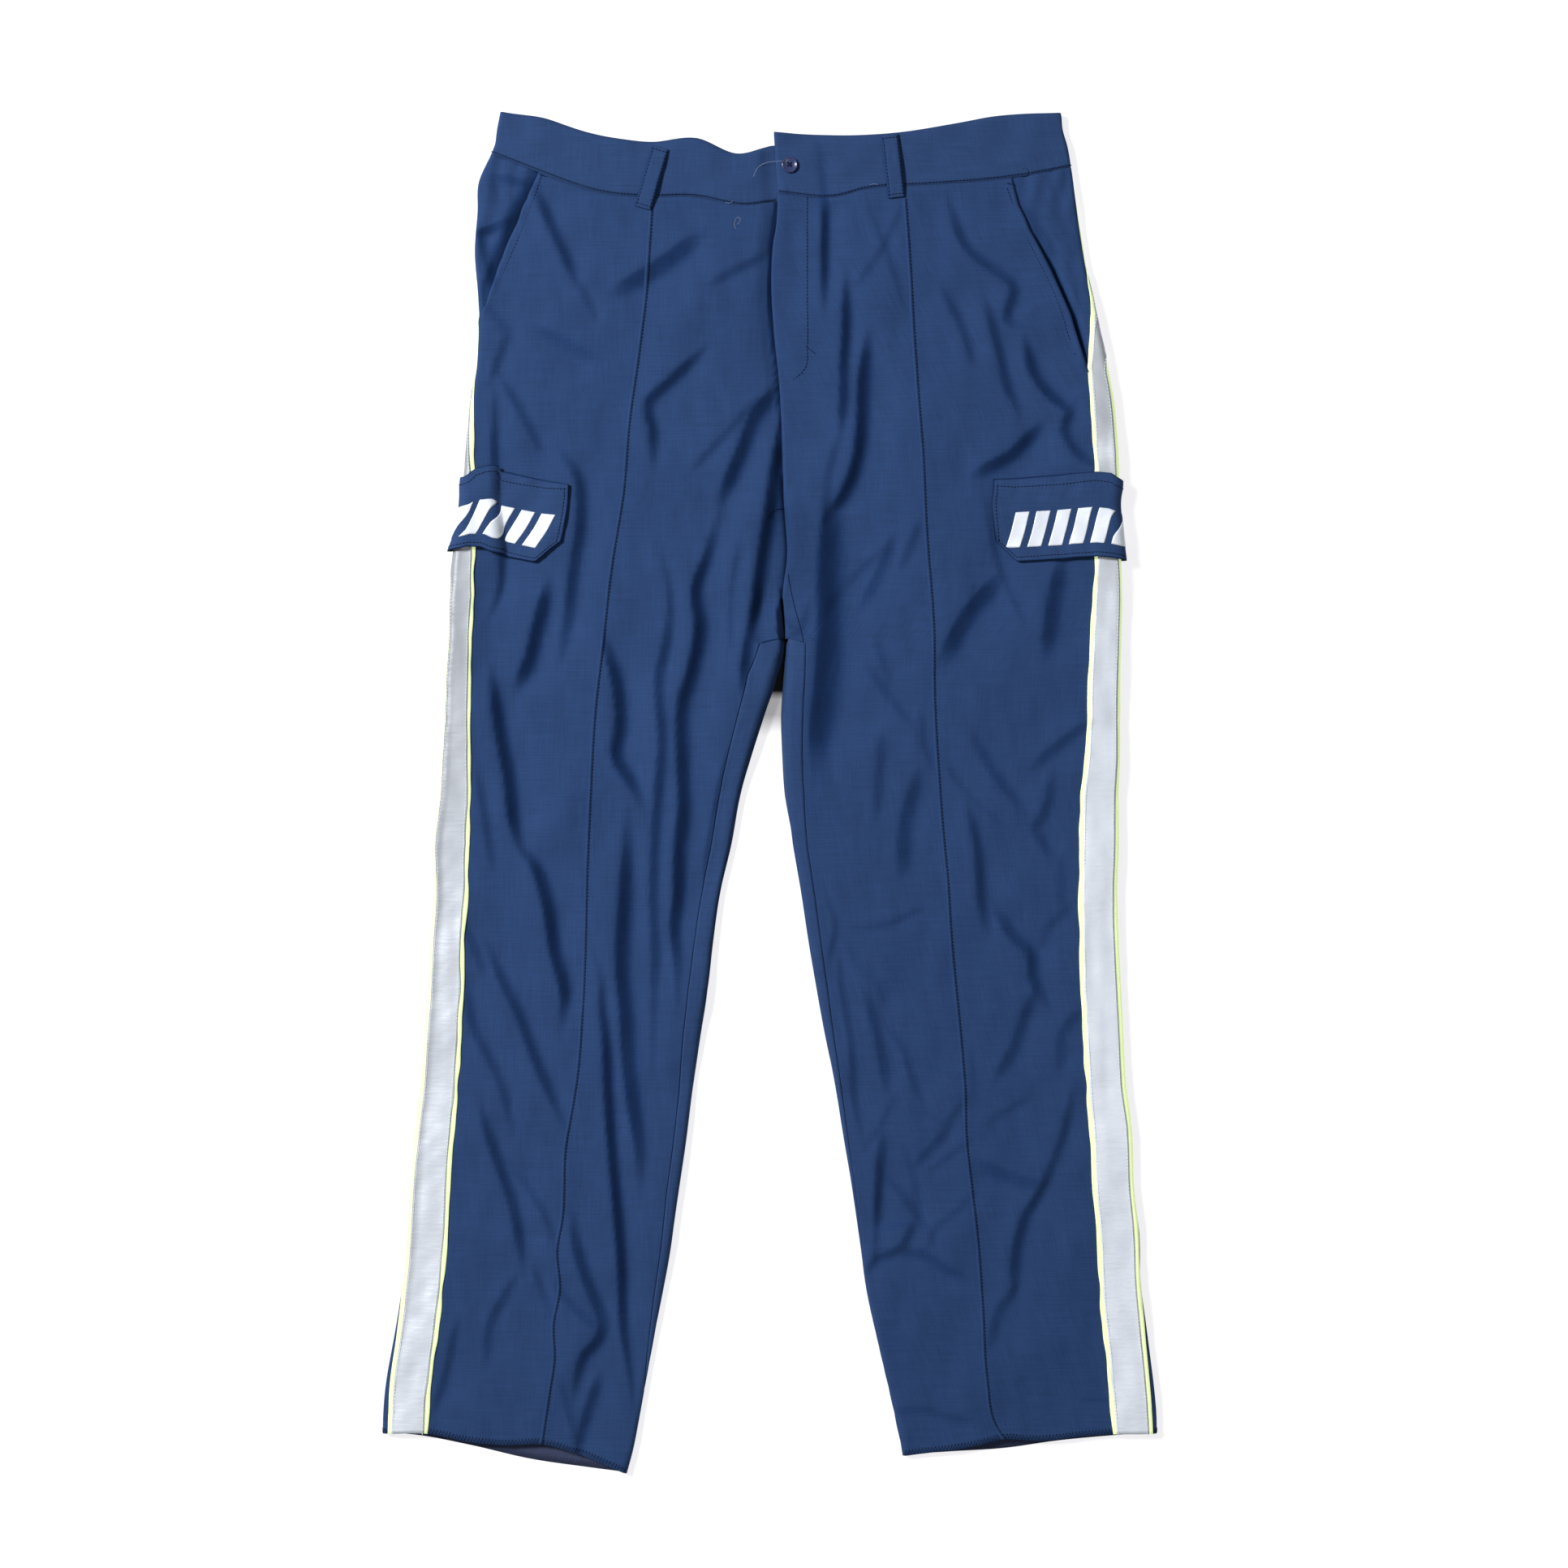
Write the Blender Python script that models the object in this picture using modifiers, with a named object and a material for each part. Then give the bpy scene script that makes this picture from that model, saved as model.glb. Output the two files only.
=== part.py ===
"""Uniform trousers laid flat on their back, modelled piece by piece as they are cut and sewn.

The frame is in metres: +X to the right as seen from above, +Y towards the waist, +Z up from the
surface that the trousers lie on. "Left" and "right" are the wearer's, so the right leg is at -X.
Each leg is a row of cross sections from the waist to the hem. A section runs from the centre
front, or from the leg's inner edge, to its outer edge, and round underneath. A place on it is
given by its arc length from the outer edge: positive on top, negative underneath.
"""

import math
from collections import namedtuple

import bmesh
import bpy
import numpy as np

MM = 0.001

# Walls and clearances, in millimetres
CLOTH = 1.5
BAND_CLOTH = 2.0
TAPE_CLOTH = 1.0
FLAP_CLOTH = 1.2
LOOP_CLOTH = 1.2
SEAM_GAP = 0.3
FRONT_INSET = 0.15
LAYER_GAP = 0.45
FLAP_GAP = 1.0

# Forms shared by both sides
INNER_THICKNESS = (8.5, 8.0, 7.0)
INNER_EDGE_RADIUS = 4.0
BLEND_IN = 60.0
BLEND_OUT = 48.0
FLY_DROP = 2.5
FLY_UNDERLAP = 20.0
FLY_DROP_WIDTH = 13.0
POCKET_DROP = 2.5
EDGE_STEP = 1.4
POCKET_DIP = 12.0
POCKET_UNDERLAP = 15.0
TAPE_STACK = 2 * (LAYER_GAP + TAPE_CLOTH)
SILVER_SHARE = 0.8
TAPE_SHARES = (0.0, 0.27, 0.54, SILVER_SHARE, 1.0)
LIFT_FADE = 14.0
DEEPEST_FOLD = -4.6
FRONT_COLUMNS = 13
BACK_COLUMNS = 9
FACING_COLUMNS = 6
FLAP_COLUMNS = 7
PROBE = 0.4
FAR_AWAY = 500.0

# Section numbers
BAND_SEAM = 2
FLY_END = 8
CROTCH = 14
HEM = 32
SAG_FADE = 5.0
HEM_FADE = 4.0
FACING_END = {"right": 7, "left": 8}
EXTRA_ROWS = {"right": (6.25, 6.5, 6.75, 8.5, 14.3, 14.6), "left": (5.5, 6.25, 6.5, 6.75, 7.5, 14.3, 14.6)}

# The flap that wraps the side of each thigh
FLAP_ROWS = (9, 12)
FLAP_HALF_WIDTH = 92.0
FLAP_END_GAP = 1.4
FLAP_OVER_TAPE = 21.0
FLAP_SETTLE = 26.0
FLAP_FLOOR_GAP = 0.1
FLAP_LIFT_END = 100.0
FLAP_CHAMFER = 17.0

# Belt loops: top and bottom middle points, seen from above
LOOP_WIDTH = 13.5
LOOP_BULGE = 1.0
LOOP_GAP = 0.65
LOOP_POINTS = 8
LOOP_ENDS = {
    "right": ((-86.0, 509.0), (-100.0, 461.0)),
    "left": ((94.5, 519.0), (100.0, 469.5)),
}

# Button
BUTTON_CENTRE = (15.7, 495.4)
BUTTON_RADIUS = 6.5
BUTTON_THICKNESS = 2.6
BUTTON_DISH = 0.7
BUTTON_RIM = 1.4
BUTTON_HOLE_RADIUS = 0.8
BUTTON_HOLE_OFFSET = 1.7

# One row a section, in millimetres. Outer and inner are the ends of the section seen from above,
# edge its thickness at the outer end and mid its thickness in the middle. Tape_in is the distance
# from the outer edge to the tape's front edge, less than 0 where that lies underneath, and tuck
# is how far the tape reaches underneath. Pocket is the distance from the outer edge to the slanted
# pocket edge, and inseam the distance from the inner edge to the inseam, less than 0 underneath.
Section = namedtuple(
    "Section", "outer_x outer_y inner_x inner_y edge mid tape_in tuck pocket inseam"
)
SECTIONS = {
    "right": (
        Section(-213.0, 537.9, 2.0, 511.5, 8.0, 8.5, -3, 36, 0, 0),
        Section(-215.5, 520.0, 4.0, 489.0, 8.0, 8.5, -3, 36, 0, 0),
        Section(-220.0, 505.0, 5.5, 467.0, 8.5, 9.0, -3, 36, 38, 0),
        Section(-230.0, 482.0, 5.0, 449.0, 9.0, 10.0, -3, 36, 39, 0),
        Section(-231.0, 458.0, 2.0, 429.0, 9.0, 10.5, -3, 36, 32, 0),
        Section(-233.0, 426.0, 1.0, 400.0, 10.0, 10.5, -2, 35, 22, 0),
        Section(-230.0, 385.0, 3.0, 364.0, 11.0, 10.5, 0, 33, 5.5, 0),
        Section(-231.0, 341.0, 7.0, 326.0, 11.0, 10.5, 1.5, 30, 0, 0),
        Section(-236.0, 302.0, 9.0, 292.0, 11.0, 10.5, 4.7, 26, 0, 0),
        Section(-240.0, 253.0, 10.4, 249.0, 12.5, 10.5, 8, 22, 0, 0),
        Section(-241.0, 231.0, 11.0, 228.0, 13.5, 10.0, 10, 17, 0, 0),
        Section(-244.0, 209.0, 12.5, 207.0, 14.5, 10.0, 13, 12, 0, 0),
        Section(-249.0, 187.0, 13.4, 186.0, 15.5, 10.0, 17, 6, 0, 0),
        Section(-252.0, 155.0, 9.9, 155.0, 16.0, 10.0, 19, 1.5, 0, 0),
        Section(-253.0, 122.0, 11.8, 122.0, 16.0, 10.0, 18.2, 0, 0, 0),
        Section(-255.0, 93.0, 8.5, 93.0, 16.0, 10.0, 19.4, 0, 0, 26),
        Section(-256.0, 62.0, -2.0, 62.0, 16.0, 10.0, 20.2, 0, 0, 23),
        Section(-258.0, 30.0, -13.0, 30.0, 15.0, 10.0, 22.4, 0, 0, 20),
        Section(-260.0, -2.0, -23.0, -2.0, 14.0, 10.0, 24.3, 0, 0, 16.5),
        Section(-265.0, -40.0, -30.0, -40.0, 12.0, 9.5, 28.5, 0, 0, 16),
        Section(-265.0, -79.0, -39.0, -79.0, 10.0, 9.5, 26.9, 0.5, 0, 14.5),
        Section(-268.0, -117.0, -44.0, -117.0, 9.0, 9.0, 27.2, 1, 0, 15.5),
        Section(-270.0, -156.0, -48.0, -156.0, 8.5, 9.0, 28.8, 1, 0, 16.5),
        Section(-273.0, -194.0, -55.0, -195.0, 8.5, 9.0, 29.8, 1, 0, 13.6),
        Section(-276.0, -232.0, -61.0, -235.0, 8.0, 9.0, 30.1, 0.8, 0, 10.4),
        Section(-280.0, -271.0, -66.0, -276.0, 8.0, 9.0, 31, 0, 0, 10),
        Section(-283.0, -309.0, -72.0, -317.0, 8.0, 9.0, 31, 0, 0, 9.5),
        Section(-286.0, -348.0, -78.0, -360.0, 8.0, 9.0, 32.3, -1, 0, 8),
        Section(-290.0, -386.0, -86.0, -402.0, 8.0, 8.5, 33, -2, 0, 6),
        Section(-296.0, -424.0, -94.0, -444.0, 7.5, 8.5, 34.6, -3.5, 0, 3),
        Section(-303.0, -463.0, -102.0, -488.0, 7.5, 8.0, 36.5, -5, 0, -1.5),
        Section(-305.5, -488.0, -107.5, -517.0, 7.0, 8.0, 37, -6, 0, -4),
        Section(-306.0, -506.0, -113.0, -538.0, 7.0, 8.0, 36.8, -6, 0, -6),
    ),
    "left": (
        Section(230.0, 537.0, 3.0, 521.5, 8.0, 8.5, 1, 30, 0, 0),
        Section(233.5, 515.0, 4.5, 497.5, 8.0, 8.5, 1, 30, 0, 0),
        Section(238.0, 494.0, 6.0, 473.0, 8.5, 9.0, 1, 30, 47, 0),
        Section(241.0, 472.0, 5.0, 449.0, 9.0, 10.0, 1, 30, 45, 0),
        Section(244.0, 449.0, 2.0, 429.0, 9.0, 10.5, 1, 30, 39, 0),
        Section(249.0, 417.0, 1.0, 400.0, 9.5, 10.5, 2, 28, 28, 0),
        Section(257.0, 378.0, 3.0, 364.0, 10.5, 10.5, 7, 20, 19.5, 0),
        Section(266.0, 337.0, 7.0, 326.0, 11.0, 10.5, 16, 9, 19, 0),
        Section(272.0, 301.0, 9.0, 292.0, 11.0, 10.5, 19, 2, 0, 0),
        Section(275.0, 251.0, 10.4, 249.0, 12.5, 10.5, 19, 3, 0, 0),
        Section(273.0, 228.0, 11.0, 228.0, 13.5, 10.5, 19, 4, 0, 0),
        Section(275.0, 206.0, 12.5, 207.0, 13.5, 10.0, 19.5, 4, 0, 0),
        Section(276.5, 183.0, 13.4, 186.0, 13.5, 10.0, 20.5, 2.5, 0, 0),
        Section(277.4, 155.0, 9.9, 155.0, 13.0, 10.0, 22.8, 0.5, 0, 0),
        Section(277.0, 122.0, 11.8, 122.0, 12.0, 10.0, 24.4, 0, 0, 0),
        Section(276.0, 93.0, 10.5, 93.0, 12.0, 10.0, 25, 0, 0, 17.5),
        Section(276.0, 62.0, 8.5, 62.0, 11.0, 10.0, 25.6, 0.5, 0, 18),
        Section(276.0, 30.0, 9.0, 30.0, 11.0, 10.0, 27.7, 0.5, 0, 17),
        Section(275.0, -2.0, 11.0, -2.0, 10.0, 10.0, 30.1, 0, 0, 16.4),
        Section(275.0, -40.0, 17.0, -40.0, 9.0, 9.5, 31, 0, 0, 12.6),
        Section(274.0, -79.0, 24.0, -79.0, 9.0, 9.5, 30.1, 0, 0, 11.4),
        Section(275.0, -117.0, 30.0, -117.0, 8.5, 9.0, 31, 0, 0, 10.5),
        Section(277.0, -156.0, 37.0, -156.0, 8.5, 9.0, 32, -0.5, 0, 9),
        Section(279.0, -194.0, 44.0, -194.0, 8.0, 9.0, 32, -0.5, 0, 7),
        Section(281.0, -232.0, 52.0, -234.0, 8.0, 9.0, 31.5, 0, 0, 4.7),
        Section(286.0, -271.0, 58.5, -274.0, 8.0, 9.0, 33.6, -1.5, 0, 3.6),
        Section(287.0, -309.0, 65.0, -313.0, 8.0, 9.0, 32.6, -1, 0, 2.3),
        Section(292.0, -348.0, 71.0, -354.0, 8.0, 9.0, 34.6, -2.5, 0, 1.5),
        Section(293.0, -386.0, 76.5, -394.0, 8.0, 8.5, 33.5, -2, 0, -2.6),
        Section(298.0, -424.0, 85.5, -435.0, 7.5, 8.5, 35, -3.5, 0, -9),
        Section(303.0, -463.0, 95.0, -476.0, 7.5, 8.0, 36.5, -5, 0, -16),
        Section(305.5, -488.0, 101.0, -504.0, 7.0, 8.0, 36.5, -5.5, 0, -21),
        Section(306.0, -506.0, 105.0, -524.0, 7.0, 8.0, 35.5, -5, 0, -24),
    ),
}

# How far a section hangs below its straight chord: share of the way in from the outer edge, and sag
SAGS = {
    "right": {
        "band_top": ((0, 0), (0.16, 1), (0.32, 8), (0.56, 9), (0.72, 2), (0.88, 10), (1, 0)),
        "band_seam": ((0, 0), (0.15, 8), (0.4, 17), (0.55, 14), (0.7, 8), (0.9, 7), (1, 0)),
        "front_hem": ((0, 0), (0.18, -5), (0.37, -3), (0.5, -5), (0.66, -12), (0.8, -9), (1, 0)),
        "back_hem": ((0, 0), (0.14, -2), (0.36, -1), (0.6, 2), (0.85, 1), (1, 0)),
    },
    "left": {
        "band_top": ((0, 0), (0.19, -1), (0.32, 1.5), (0.45, 5), (0.7, 7), (0.9, 3), (1, 0)),
        "band_seam": ((0, 0), (0.16, 4), (0.3, 5), (0.5, 4), (0.7, 3), (0.8, 7), (1, 0)),
        "front_hem": ((0, 0), (0.2, -2), (0.5, -2), (0.6, -5.6), (0.7, -2), (1, 0)),
        "back_hem": ((0, 0), (0.4, 0), (0.6, 2), (0.8, 1), (1, 0)),
    },
}

# The largest folds: depth (less than 0 for a trough), half width, and the path seen from above
Fold = namedtuple("Fold", "depth half_width path")
FOLDS = {
    "right": (
        Fold(-2.6, 9, ((-182, 476), (-172, 449), (-160, 421), (-150, 394))),
        Fold(-2.4, 14, ((-60, 436), (-85, 417), (-117, 398))),
        Fold(-3.0, 9, ((-55, 347), (-79, 324), (-96, 307), (-92, 264))),
        Fold(-3.2, 11, ((3, 317), (-9, 302), (-21, 273), (-37, 234))),
        Fold(-4.0, 10, ((9, 285), (2, 234), (0, 209), (-9, 177), (-13, 152))),
        Fold(-3.0, 8, ((-217, 319), (-217, 241), (-217, 148))),
        Fold(-2.6, 10, ((-166, 271), (-153, 253), (-149, 218), (-160, 135), (-166, 103))),
        Fold(-3.4, 11, ((-176, 159), (-183, 131), (-197, 88))),
        Fold(-3.8, 10, ((-219, 93), (-213, 51), (-206, 12), (-197, -43))),
        Fold(-3.8, 10, ((-197, -43), (-185, -58), (-169, -129), (-164, -181))),
        Fold(-3.4, 10, ((-130, 120), (-121, 88), (-118, 51), (-121, 29), (-101, -9))),
        Fold(-3.6, 12, ((-112, -13), (-115, -90), (-117, -138), (-112, -209), (-102, -317))),
        Fold(-4.2, 12, ((-37, 230), (-58, 161), (-55, 131), (-69, 50), (-71, -45), (-73, -173))),
        Fold(-2.8, 9, ((-9, 156), (-18, 114), (-21, 88))),
        Fold(-3.0, 9, ((-224, -118), (-197, -177), (-176, -231), (-162, -264))),
        Fold(-3.0, 9, ((-228, -249), (-212, -298), (-199, -344), (-194, -378))),
        Fold(-3.8, 10, ((-142, -122), (-132, -173), (-126, -264), (-117, -374), (-107, -494))),
        Fold(-3.0, 10, ((-156, -332), (-144, -386), (-132, -419), (-146, -443), (-154, -477))),
    ),
    "left": (
        Fold(-3.2, 9, ((60, 402), (60, 362), (58, 315), (56, 285))),
        Fold(-4.4, 12, ((77, 358), (73, 294), (69, 262), (46, 218))),
        Fold(-2.2, 9, ((141, 466), (156, 429), (192, 400), (207, 366))),
        Fold(-2.6, 10, ((203, 351), (209, 330), (222, 313), (235, 302))),
        Fold(-2.6, 11, ((209, 285), (190, 266), (169, 255))),
        Fold(-4.6, 13, ((48, 228), (50, 178), (50, 122), (39, 61), (33, 38), (30, -9))),
        Fold(-2.8, 14, ((177, 165), (156, 140), (139, 109))),
        Fold(-2.4, 13, ((228, 175), (224, 152), (219, 114))),
        Fold(-2.6, 13, ((116, 10), (107, -24), (104, -60))),
        Fold(-3.4, 10, ((158, -15), (164, -45), (171, -107))),
        Fold(-2.4, 10, ((222, 8), (217, -15), (209, -28), (219, -45))),
        Fold(-2.6, 9, ((77, -163), (89, -211), (92, -231))),
        Fold(-3.4, 10, ((180, -94), (199, -120), (208, -148), (217, -165))),
        Fold(-3.2, 10, ((89, -275), (86, -303), (85, -335))),
        Fold(-2.8, 9, ((238, -241), (232, -269), (208, -325))),
        Fold(-3.2, 10, ((216, -312), (204, -330), (193, -388))),
        Fold(-2.6, 9, ((105, -362), (121, -364), (149, -381))),
    ),
}

Finish = namedtuple("Finish", "colour roughness metallic")
FINISHES = {
    "navy_cloth": Finish((0.016, 0.042, 0.125), 0.82, 0.0),
    "silver_tape": Finish((0.60, 0.64, 0.70), 0.45, 0.3),
    "lime_tape": Finish((0.62, 1.0, 0.08), 0.7, 0.0),
    "navy_plastic": Finish((0.010, 0.014, 0.035), 0.25, 0.0),
}


def smooth(value):
    """0 below 0, 1 above 1, and a smooth step between."""
    value = np.clip(value, 0.0, 1.0)
    return value * value * (3.0 - 2.0 * value)


def curve_through(points, at):
    """A smooth curve through a few points, read at the places given."""
    x, y = np.array(points, dtype=float).T
    slope = np.gradient(y, x)
    index = np.clip(np.searchsorted(x, at, side="right") - 1, 0, len(x) - 2)
    step = x[index + 1] - x[index]
    t = np.clip((at - x[index]) / step, 0.0, 1.0)
    start = (1 + 2 * t) * (1 - t) ** 2 * y[index] + t * (1 - t) ** 2 * step * slope[index]
    end = t**2 * (3 - 2 * t) * y[index + 1] - t**2 * (1 - t) * step * slope[index + 1]
    return start + end


def column(half, name, row):
    """One column of a half's section table, read at whole or fractional section numbers."""
    values = [getattr(section, name) for section in SECTIONS[half]]
    return np.interp(row, np.arange(len(values)), values)


def underside_lift(half, row, under):
    """How high the back lies above the floor, so that tape and flap fit beneath it.

    under is the distance in from the outer edge.
    """
    tape = TAPE_STACK * (1.0 - smooth((under - column(half, "tuck", row)) / LIFT_FADE))
    first, last = FLAP_ROWS
    flap_share = np.interp(row, (first - 1, first, last, last + 1), (0, 1, 1, 0))
    seam = (column(half, "tape_in", row) - column(half, "tuck", row)) / 2
    flap_lift = flap_clearance(np.abs(under + seam)) + FLAP_CLOTH + FLAP_FLOOR_GAP
    flap_lift = flap_lift * (1.0 - smooth((under - FLAP_LIFT_END) / LIFT_FADE))
    return tape * (1.0 - flap_share) + np.maximum(tape, flap_lift) * flap_share


def flap_clearance(distance):
    """How far the flap's inner face stands off the leg, by the distance from the side seam."""
    share = smooth((distance - FLAP_OVER_TAPE) / FLAP_SETTLE)
    return (TAPE_STACK + FLAP_GAP) * (1.0 - share) + FLAP_END_GAP * share


def measures(half, row):
    """The worked out sizes of the sections at these section numbers."""
    found = {name: column(half, name, row) for name in Section._fields}
    side = -1.0 if half == "right" else 1.0
    centre_gap = np.where(row < CROTCH - 0.5, SEAM_GAP / 2, SEAM_GAP)
    found["inner_x"] = found["inner_x"] + np.where(row <= CROTCH, side * centre_gap, 0.0)
    across_x = found["outer_x"] - found["inner_x"]
    across_y = found["outer_y"] - found["inner_y"]
    found["length"] = np.hypot(across_x, across_y)
    found["ux"] = across_x / found["length"]
    found["uy"] = across_y / found["length"]
    found["outer_radius"] = (found["edge"] - underside_lift(half, row, 0.0)) / 2
    found["closed"] = np.clip(row - CROTCH + 1, 0.0, 1.0)
    found["inner_radius"] = INNER_EDGE_RADIUS * found["closed"]
    quarter = math.pi / 2
    found["outer_arc"] = quarter * found["outer_radius"]
    found["inner_arc"] = quarter * found["inner_radius"]
    flat = found["length"] - found["outer_radius"] - found["inner_radius"]
    found["girth"] = found["outer_arc"] + flat + found["inner_arc"]
    return found


def arc_of(distance, radius):
    """Arc length from a round edge to the point this far in from it, seen from above."""
    inside = np.clip(1.0 - distance / radius, -1.0, 1.0)
    round_part = radius * np.arccos(inside)
    beyond = distance + (math.pi / 2 - 1.0) * radius
    arc = np.where(distance < radius, round_part, beyond)
    return np.where(distance < 0, distance, arc)


def tape_edges(half, row):
    """Arc lengths of the tape's front edge, the side seam under it, and its back edge."""
    found = measures(half, row)
    front = arc_of(found["tape_in"], found["outer_radius"])
    back = -found["tuck"]
    return front, (front + back) / 2, back


def inseam_ends(half, row):
    """Arc lengths where the front starts and where the back ends, at the centre or the inseam."""
    found = measures(half, row)
    inseam = np.sign(found["inseam"]) * arc_of(np.abs(found["inseam"]), INNER_EDGE_RADIUS)
    start = found["girth"] - found["inner_arc"] * (1.0 - found["closed"]) - inseam
    end = -(found["girth"] - found["inner_arc"] * (1.0 - found["closed"])) - inseam
    return start, end


def sag_of(half, row, share, on_top):
    """Distance of the section below its straight chord."""
    def curve(name):
        return curve_through(SAGS[half][name], share)

    top, seam = curve("band_top"), curve("band_seam")
    down_band = np.clip(row / BAND_SEAM, 0.0, 1.0)
    waist = (top * (1 - down_band) + seam * down_band) * (1 - smooth((row - BAND_SEAM) / SAG_FADE))
    hem = np.where(on_top, curve("front_hem"), curve("back_hem"))
    return waist + hem * smooth((row - HEM + HEM_FADE) / HEM_FADE)


def path_distance(x, y, path):
    """Distance to a path, and the share of the way along it, of points seen from above."""
    points = np.array(path, dtype=float)
    steps = np.diff(points, axis=0)
    lengths = np.hypot(steps[:, 0], steps[:, 1])
    before = np.concatenate([[0.0], np.cumsum(lengths)])
    nearest = np.full(np.shape(x), 1e9)
    along = np.zeros(np.shape(x))
    for start, step, length, passed in zip(points[:-1], steps, lengths, before[:-1]):
        share = ((x - start[0]) * step[0] + (y - start[1]) * step[1]) / length**2
        share = np.clip(share, 0.0, 1.0)
        gap = np.hypot(x - start[0] - share * step[0], y - start[1] - share * step[1])
        closer = gap < nearest
        nearest = np.where(closer, gap, nearest)
        along = np.where(closer, (passed + share * length) / before[-1], along)
    return nearest, along


def fold_height(half, x, y):
    """Height that the large folds add to the top of a leg at these points."""
    height = np.zeros(np.shape(x))
    for fold in FOLDS[half]:
        gap, along = path_distance(x, y, fold.path)
        taper = 0.35 + 0.65 * np.sin(math.pi * np.clip(along, 0.0, 1.0)) ** 0.5
        height += fold.depth * taper * np.exp(-((gap / fold.half_width) ** 2))
    return np.maximum(height, DEEPEST_FOLD)


def skin(half, row, arc):
    """Points on the outer face of a leg: section numbers and arc lengths in, millimetres out."""
    row, arc = np.broadcast_arrays(np.asarray(row, float), np.asarray(arc, float))
    found = measures(half, row)
    on_top = arc >= 0
    reach = np.abs(arc)
    past = (found["closed"] > 0) & (reach > found["girth"])
    on_top = np.where(past, ~on_top, on_top)
    reach = np.where(past, 2 * found["girth"] - reach, reach)

    outer_turn = np.clip(reach / found["outer_radius"], 0.0, math.pi / 2)
    flat_in = found["outer_radius"] + reach - found["outer_arc"]
    outer_in = found["outer_radius"] * (1 - np.cos(outer_turn))
    distance = np.where(reach < found["outer_arc"], outer_in, flat_in)
    radius = np.maximum(found["inner_radius"], 1e-6)
    to_inner = found["girth"] - reach
    inner_turn = np.clip(to_inner / radius, 0.0, math.pi / 2)
    near_inner = (found["closed"] > 0) & (to_inner < found["inner_arc"])
    inner_in = found["length"] - radius * (1 - np.cos(inner_turn))
    distance = np.where(near_inner, inner_in, distance)
    fullness = np.sin(outer_turn) * np.where(near_inner, np.sin(inner_turn), 1.0)

    share = np.clip(distance / found["length"], 0.0, 1.0)
    sag = sag_of(half, row, share, on_top)
    x = found["outer_x"] - found["ux"] * distance
    y = found["outer_y"] - found["uy"] * distance - sag
    from_inner = np.abs(found["length"] - distance)
    inner_thickness = np.interp(row, (0, CROTCH, HEM), INNER_THICKNESS)
    inner_pull = np.clip(1 - from_inner / BLEND_IN, 0, 1) ** 2
    outer_pull = np.clip(1 - distance / BLEND_OUT, 0, 1) ** 2
    thickness = found["mid"] + (inner_thickness - found["mid"]) * inner_pull
    thickness = thickness + (found["edge"] - found["mid"]) * outer_pull
    lift = underside_lift(half, row, distance)
    upper = (thickness + lift) / 2 + (thickness - lift) / 2 * fullness
    lower = (thickness + lift) / 2 - (thickness - lift) / 2 * fullness
    settle = smooth((row - BAND_SEAM) * 1.5) * smooth(fullness * 1.4 - 0.3)
    upper = upper + fold_height(half, x, y) * settle
    return np.stack([x, y, np.where(on_top, upper, lower)], axis=-1)


def off_skin(half, row, arc, clearance):
    """Points this far off the outer face of a leg, or inside it where clearance is below 0."""
    row, arc = np.broadcast_arrays(np.asarray(row, float), np.asarray(arc, float))
    found = measures(half, row)
    step = skin(half, row, arc + PROBE) - skin(half, row, arc - PROBE)
    inwards = -step[..., 0] * found["ux"] - step[..., 1] * found["uy"]
    rise = step[..., 2]
    size = np.hypot(inwards, rise)
    normal = np.stack([rise * found["ux"], rise * found["uy"], inwards], axis=-1) / size[..., None]
    return skin(half, row, arc) + normal * np.broadcast_to(clearance, row.shape)[..., None]


def spread(start, end, count, dense_at, reach=9.0, extra=4.0):
    """Arc lengths from start to end, closer together near the round edges, one list a row."""
    rows = []
    steps = np.linspace(0.0, 1.0, 400)
    for index in range(len(start)):
        arcs = start[index] + (end[index] - start[index]) * steps
        weight = np.ones_like(arcs)
        for edge in dense_at[index]:
            weight += extra * np.exp(-(((arcs - edge) / reach) ** 2))
        total = np.concatenate([[0.0], np.cumsum((weight[1:] + weight[:-1]) / 2)])
        rows.append(np.interp(np.linspace(0, total[-1], count), total, arcs))
    return np.array(rows)


def beside_seam(seam, edge, gap):
    """The four columns from the side seam to an edge of the tape."""
    arcs = seam[:, None] + (edge - seam)[:, None] * np.array(TAPE_SHARES)
    arcs[:, 0] += gap * np.sign(edge - seam)
    return arcs


def make_material(name):
    finish = FINISHES[name]
    material = bpy.data.materials.new(name)
    material.use_nodes = True
    shader = material.node_tree.nodes["Principled BSDF"]
    shader.inputs["Base Color"].default_value = (*finish.colour, 1.0)
    shader.inputs["Roughness"].default_value = finish.roughness
    shader.inputs["Metallic"].default_value = finish.metallic
    material.diffuse_color = (*finish.colour, 1.0)
    return material


def finish_object(mesh, name, material, collection):
    mesh.materials.append(material)
    mesh.shade_smooth()
    made = bpy.data.objects.new(name, mesh)
    collection.objects.link(made)
    return made


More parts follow.
